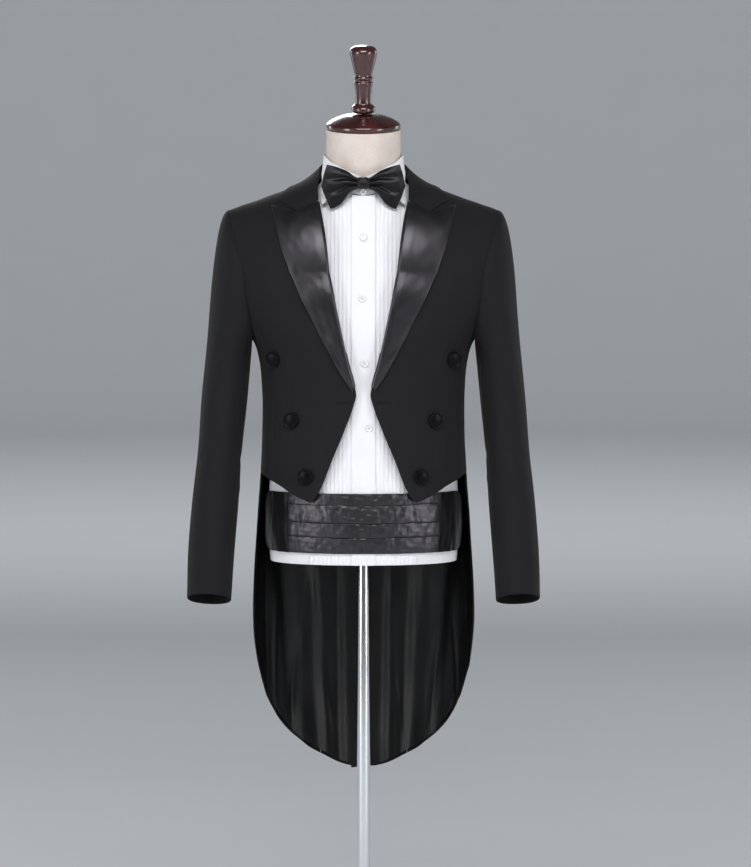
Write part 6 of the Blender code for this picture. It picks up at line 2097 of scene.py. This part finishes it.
# Soft boxes: name, place, size across, size up, power in watts, spread in degrees
SOFT_BOXES = (
    ("side_left", (-4.3, -3.4, 1.6), 1.5, 3.0, 92.0, 180),
    ("side_right", (4.3, -3.4, 1.6), 1.5, 3.0, 84.0, 180),
    ("front_top", (0.0, -4.4, 4.2), 3.6, 2.0, 188.0, 180),
    ("rim_left", (-3.0, 2.2, 1.5), 0.6, 2.6, 2.2, 60),
    ("rim_right", (3.0, 2.2, 1.5), 0.6, 2.6, 2.2, 60),
    ("back_soft", (-1.2, 5.6, 3.4), 2.6, 2.2, 14.0, 60),
)
AIM = (0.0, 0.0, 1.05)
# Lamps that face away from the form and light the paper: distance, height, drop, width, depth, power
PAPER_LAMPS = (
    (2.6, 6.5, 0.40, 5.0, 3.0, 230.0),
    (8.5, 7.5, 0.22, 10.0, 6.0, 500.0),
)
# The side of the form each set of lamps stands on, and its share of the power
PAPER_SIDES = ((0.0, 1.0, 1.0), (1.0, 0.0, 1.0), (-1.0, 0.0, 1.0), (0.0, -1.0, 0.05))
WORLD_TONE = (0.80, 0.84, 0.88)
WORLD_STRENGTH = 0.11


def add_studio():
    floor = Shader("studio_paper", (0.70, 0.73, 0.76), 0.9, Specular_IOR_Level=0.1)
    grain = floor.noise(floor.place, 3.0)
    floor.set("Base Color", floor.mixed(grain, (0.69, 0.72, 0.75), (0.71, 0.74, 0.77)))
    profile = [(0.0, -0.0005), (FLOOR_RADIUS, -0.0005)]
    for turn in np.linspace(0.0, math.pi / 2, 40)[1:]:
        across = FLOOR_RADIUS + (WALL_RADIUS - FLOOR_RADIUS) * math.sin(turn)
        profile.append((across, WALL_HEIGHT * (1 - math.cos(turn))))
    maker = bmesh.new()
    rings = []
    segments = 96
    for radius, height in profile:
        turns = [2 * math.pi * k / segments for k in range(segments)]
        if radius == 0.0:
            rings.append([maker.verts.new((0, 0, height))] * segments)
            continue
        rings.append([maker.verts.new((radius * math.cos(t), radius * math.sin(t), height)) for t in turns])
    for low, high in zip(rings, rings[1:]):
        for k in range(segments):
            after = (k + 1) % segments
            maker.faces.new(list(dict.fromkeys([low[k], low[after], high[after], high[k]])))
    bmesh.ops.recalc_face_normals(maker, faces=maker.faces)
    mesh = bpy.data.meshes.new("studio_floor")
    maker.to_mesh(mesh)
    maker.free()
    mesh.shade_smooth()
    mesh.materials.append(floor.material)
    made = in_scene("studio_floor", mesh)
    for name, place, across, up, power, spread in SOFT_BOXES:
        light = bpy.data.lights.new(name, "AREA")
        light.shape = "RECTANGLE"
        light.size = across
        light.size_y = up
        light.energy = power
        light.spread = math.radians(spread)
        lamp = in_scene(name, light)
        lamp.location = place
        lamp.rotation_euler = (Vector(AIM) - Vector(place)).to_track_quat("-Z", "Y").to_euler()
    for x, y, share in PAPER_SIDES:
        for distance, height, drop, width, depth, power in PAPER_LAMPS:
            light = bpy.data.lights.new("paper_lamp", "AREA")
            light.shape = "RECTANGLE"
            light.size = width
            light.size_y = depth
            light.energy = power * share
            lamp = in_scene("paper_lamp", light)
            lamp.location = (x * distance, y * distance, height)
            lamp.rotation_euler = Vector((x, y, -drop)).to_track_quat("-Z", "Y").to_euler()
    world = bpy.data.worlds.new("studio")
    world.use_nodes = True
    background = world.node_tree.nodes["Background"]
    background.inputs["Color"].default_value = (*WORLD_TONE, 1.0)
    background.inputs["Strength"].default_value = WORLD_STRENGTH
    bpy.context.scene.world = world


def add_camera():
    camera = bpy.data.cameras.new("camera")
    camera.lens = CAMERA_LENS
    camera.sensor_width = CAMERA_SENSOR
    camera.clip_end = 100.0
    made = in_scene("camera", camera)
    made.location = CAMERA_PLACE
    aim = Vector(CAMERA_TARGET) - Vector(CAMERA_PLACE)
    made.rotation_euler = aim.to_track_quat("-Z", "Y").to_euler()
    bpy.context.scene.camera = made


def main():
    bpy.context.scene.view_settings.view_transform = "Standard"
    add_camera()
    add_studio()
    materials = make_materials()
    add_stand(materials)
    add_form(materials)
    add_shirt_back(materials)
    for side, hand in ((-1, "right"), (1, "left")):
        add_shirt_fronts(side, hand, materials)
    placket = add_placket(materials)
    add_shirt_buttons(placket, materials)
    add_shirt_collar(materials)
    add_bow_tie(materials)
    add_cummerbund(materials)
    for side, hand in ((-1, "right"), (1, "left")):
        add_coat_fronts(side, hand, materials)
        add_coat_sides(side, hand, materials)
        add_coat_backs(side, hand, materials)
        add_skirts(side, hand, materials)
        add_linings(side, hand, materials)
        add_sleeves(side, hand, materials)
        add_lapels(side, hand, materials)
        add_coat_buttons(side, hand, materials)
        add_buttonhole(side, hand, materials)
    add_coat_collar(materials)
    add_collar_stand(materials)


main()
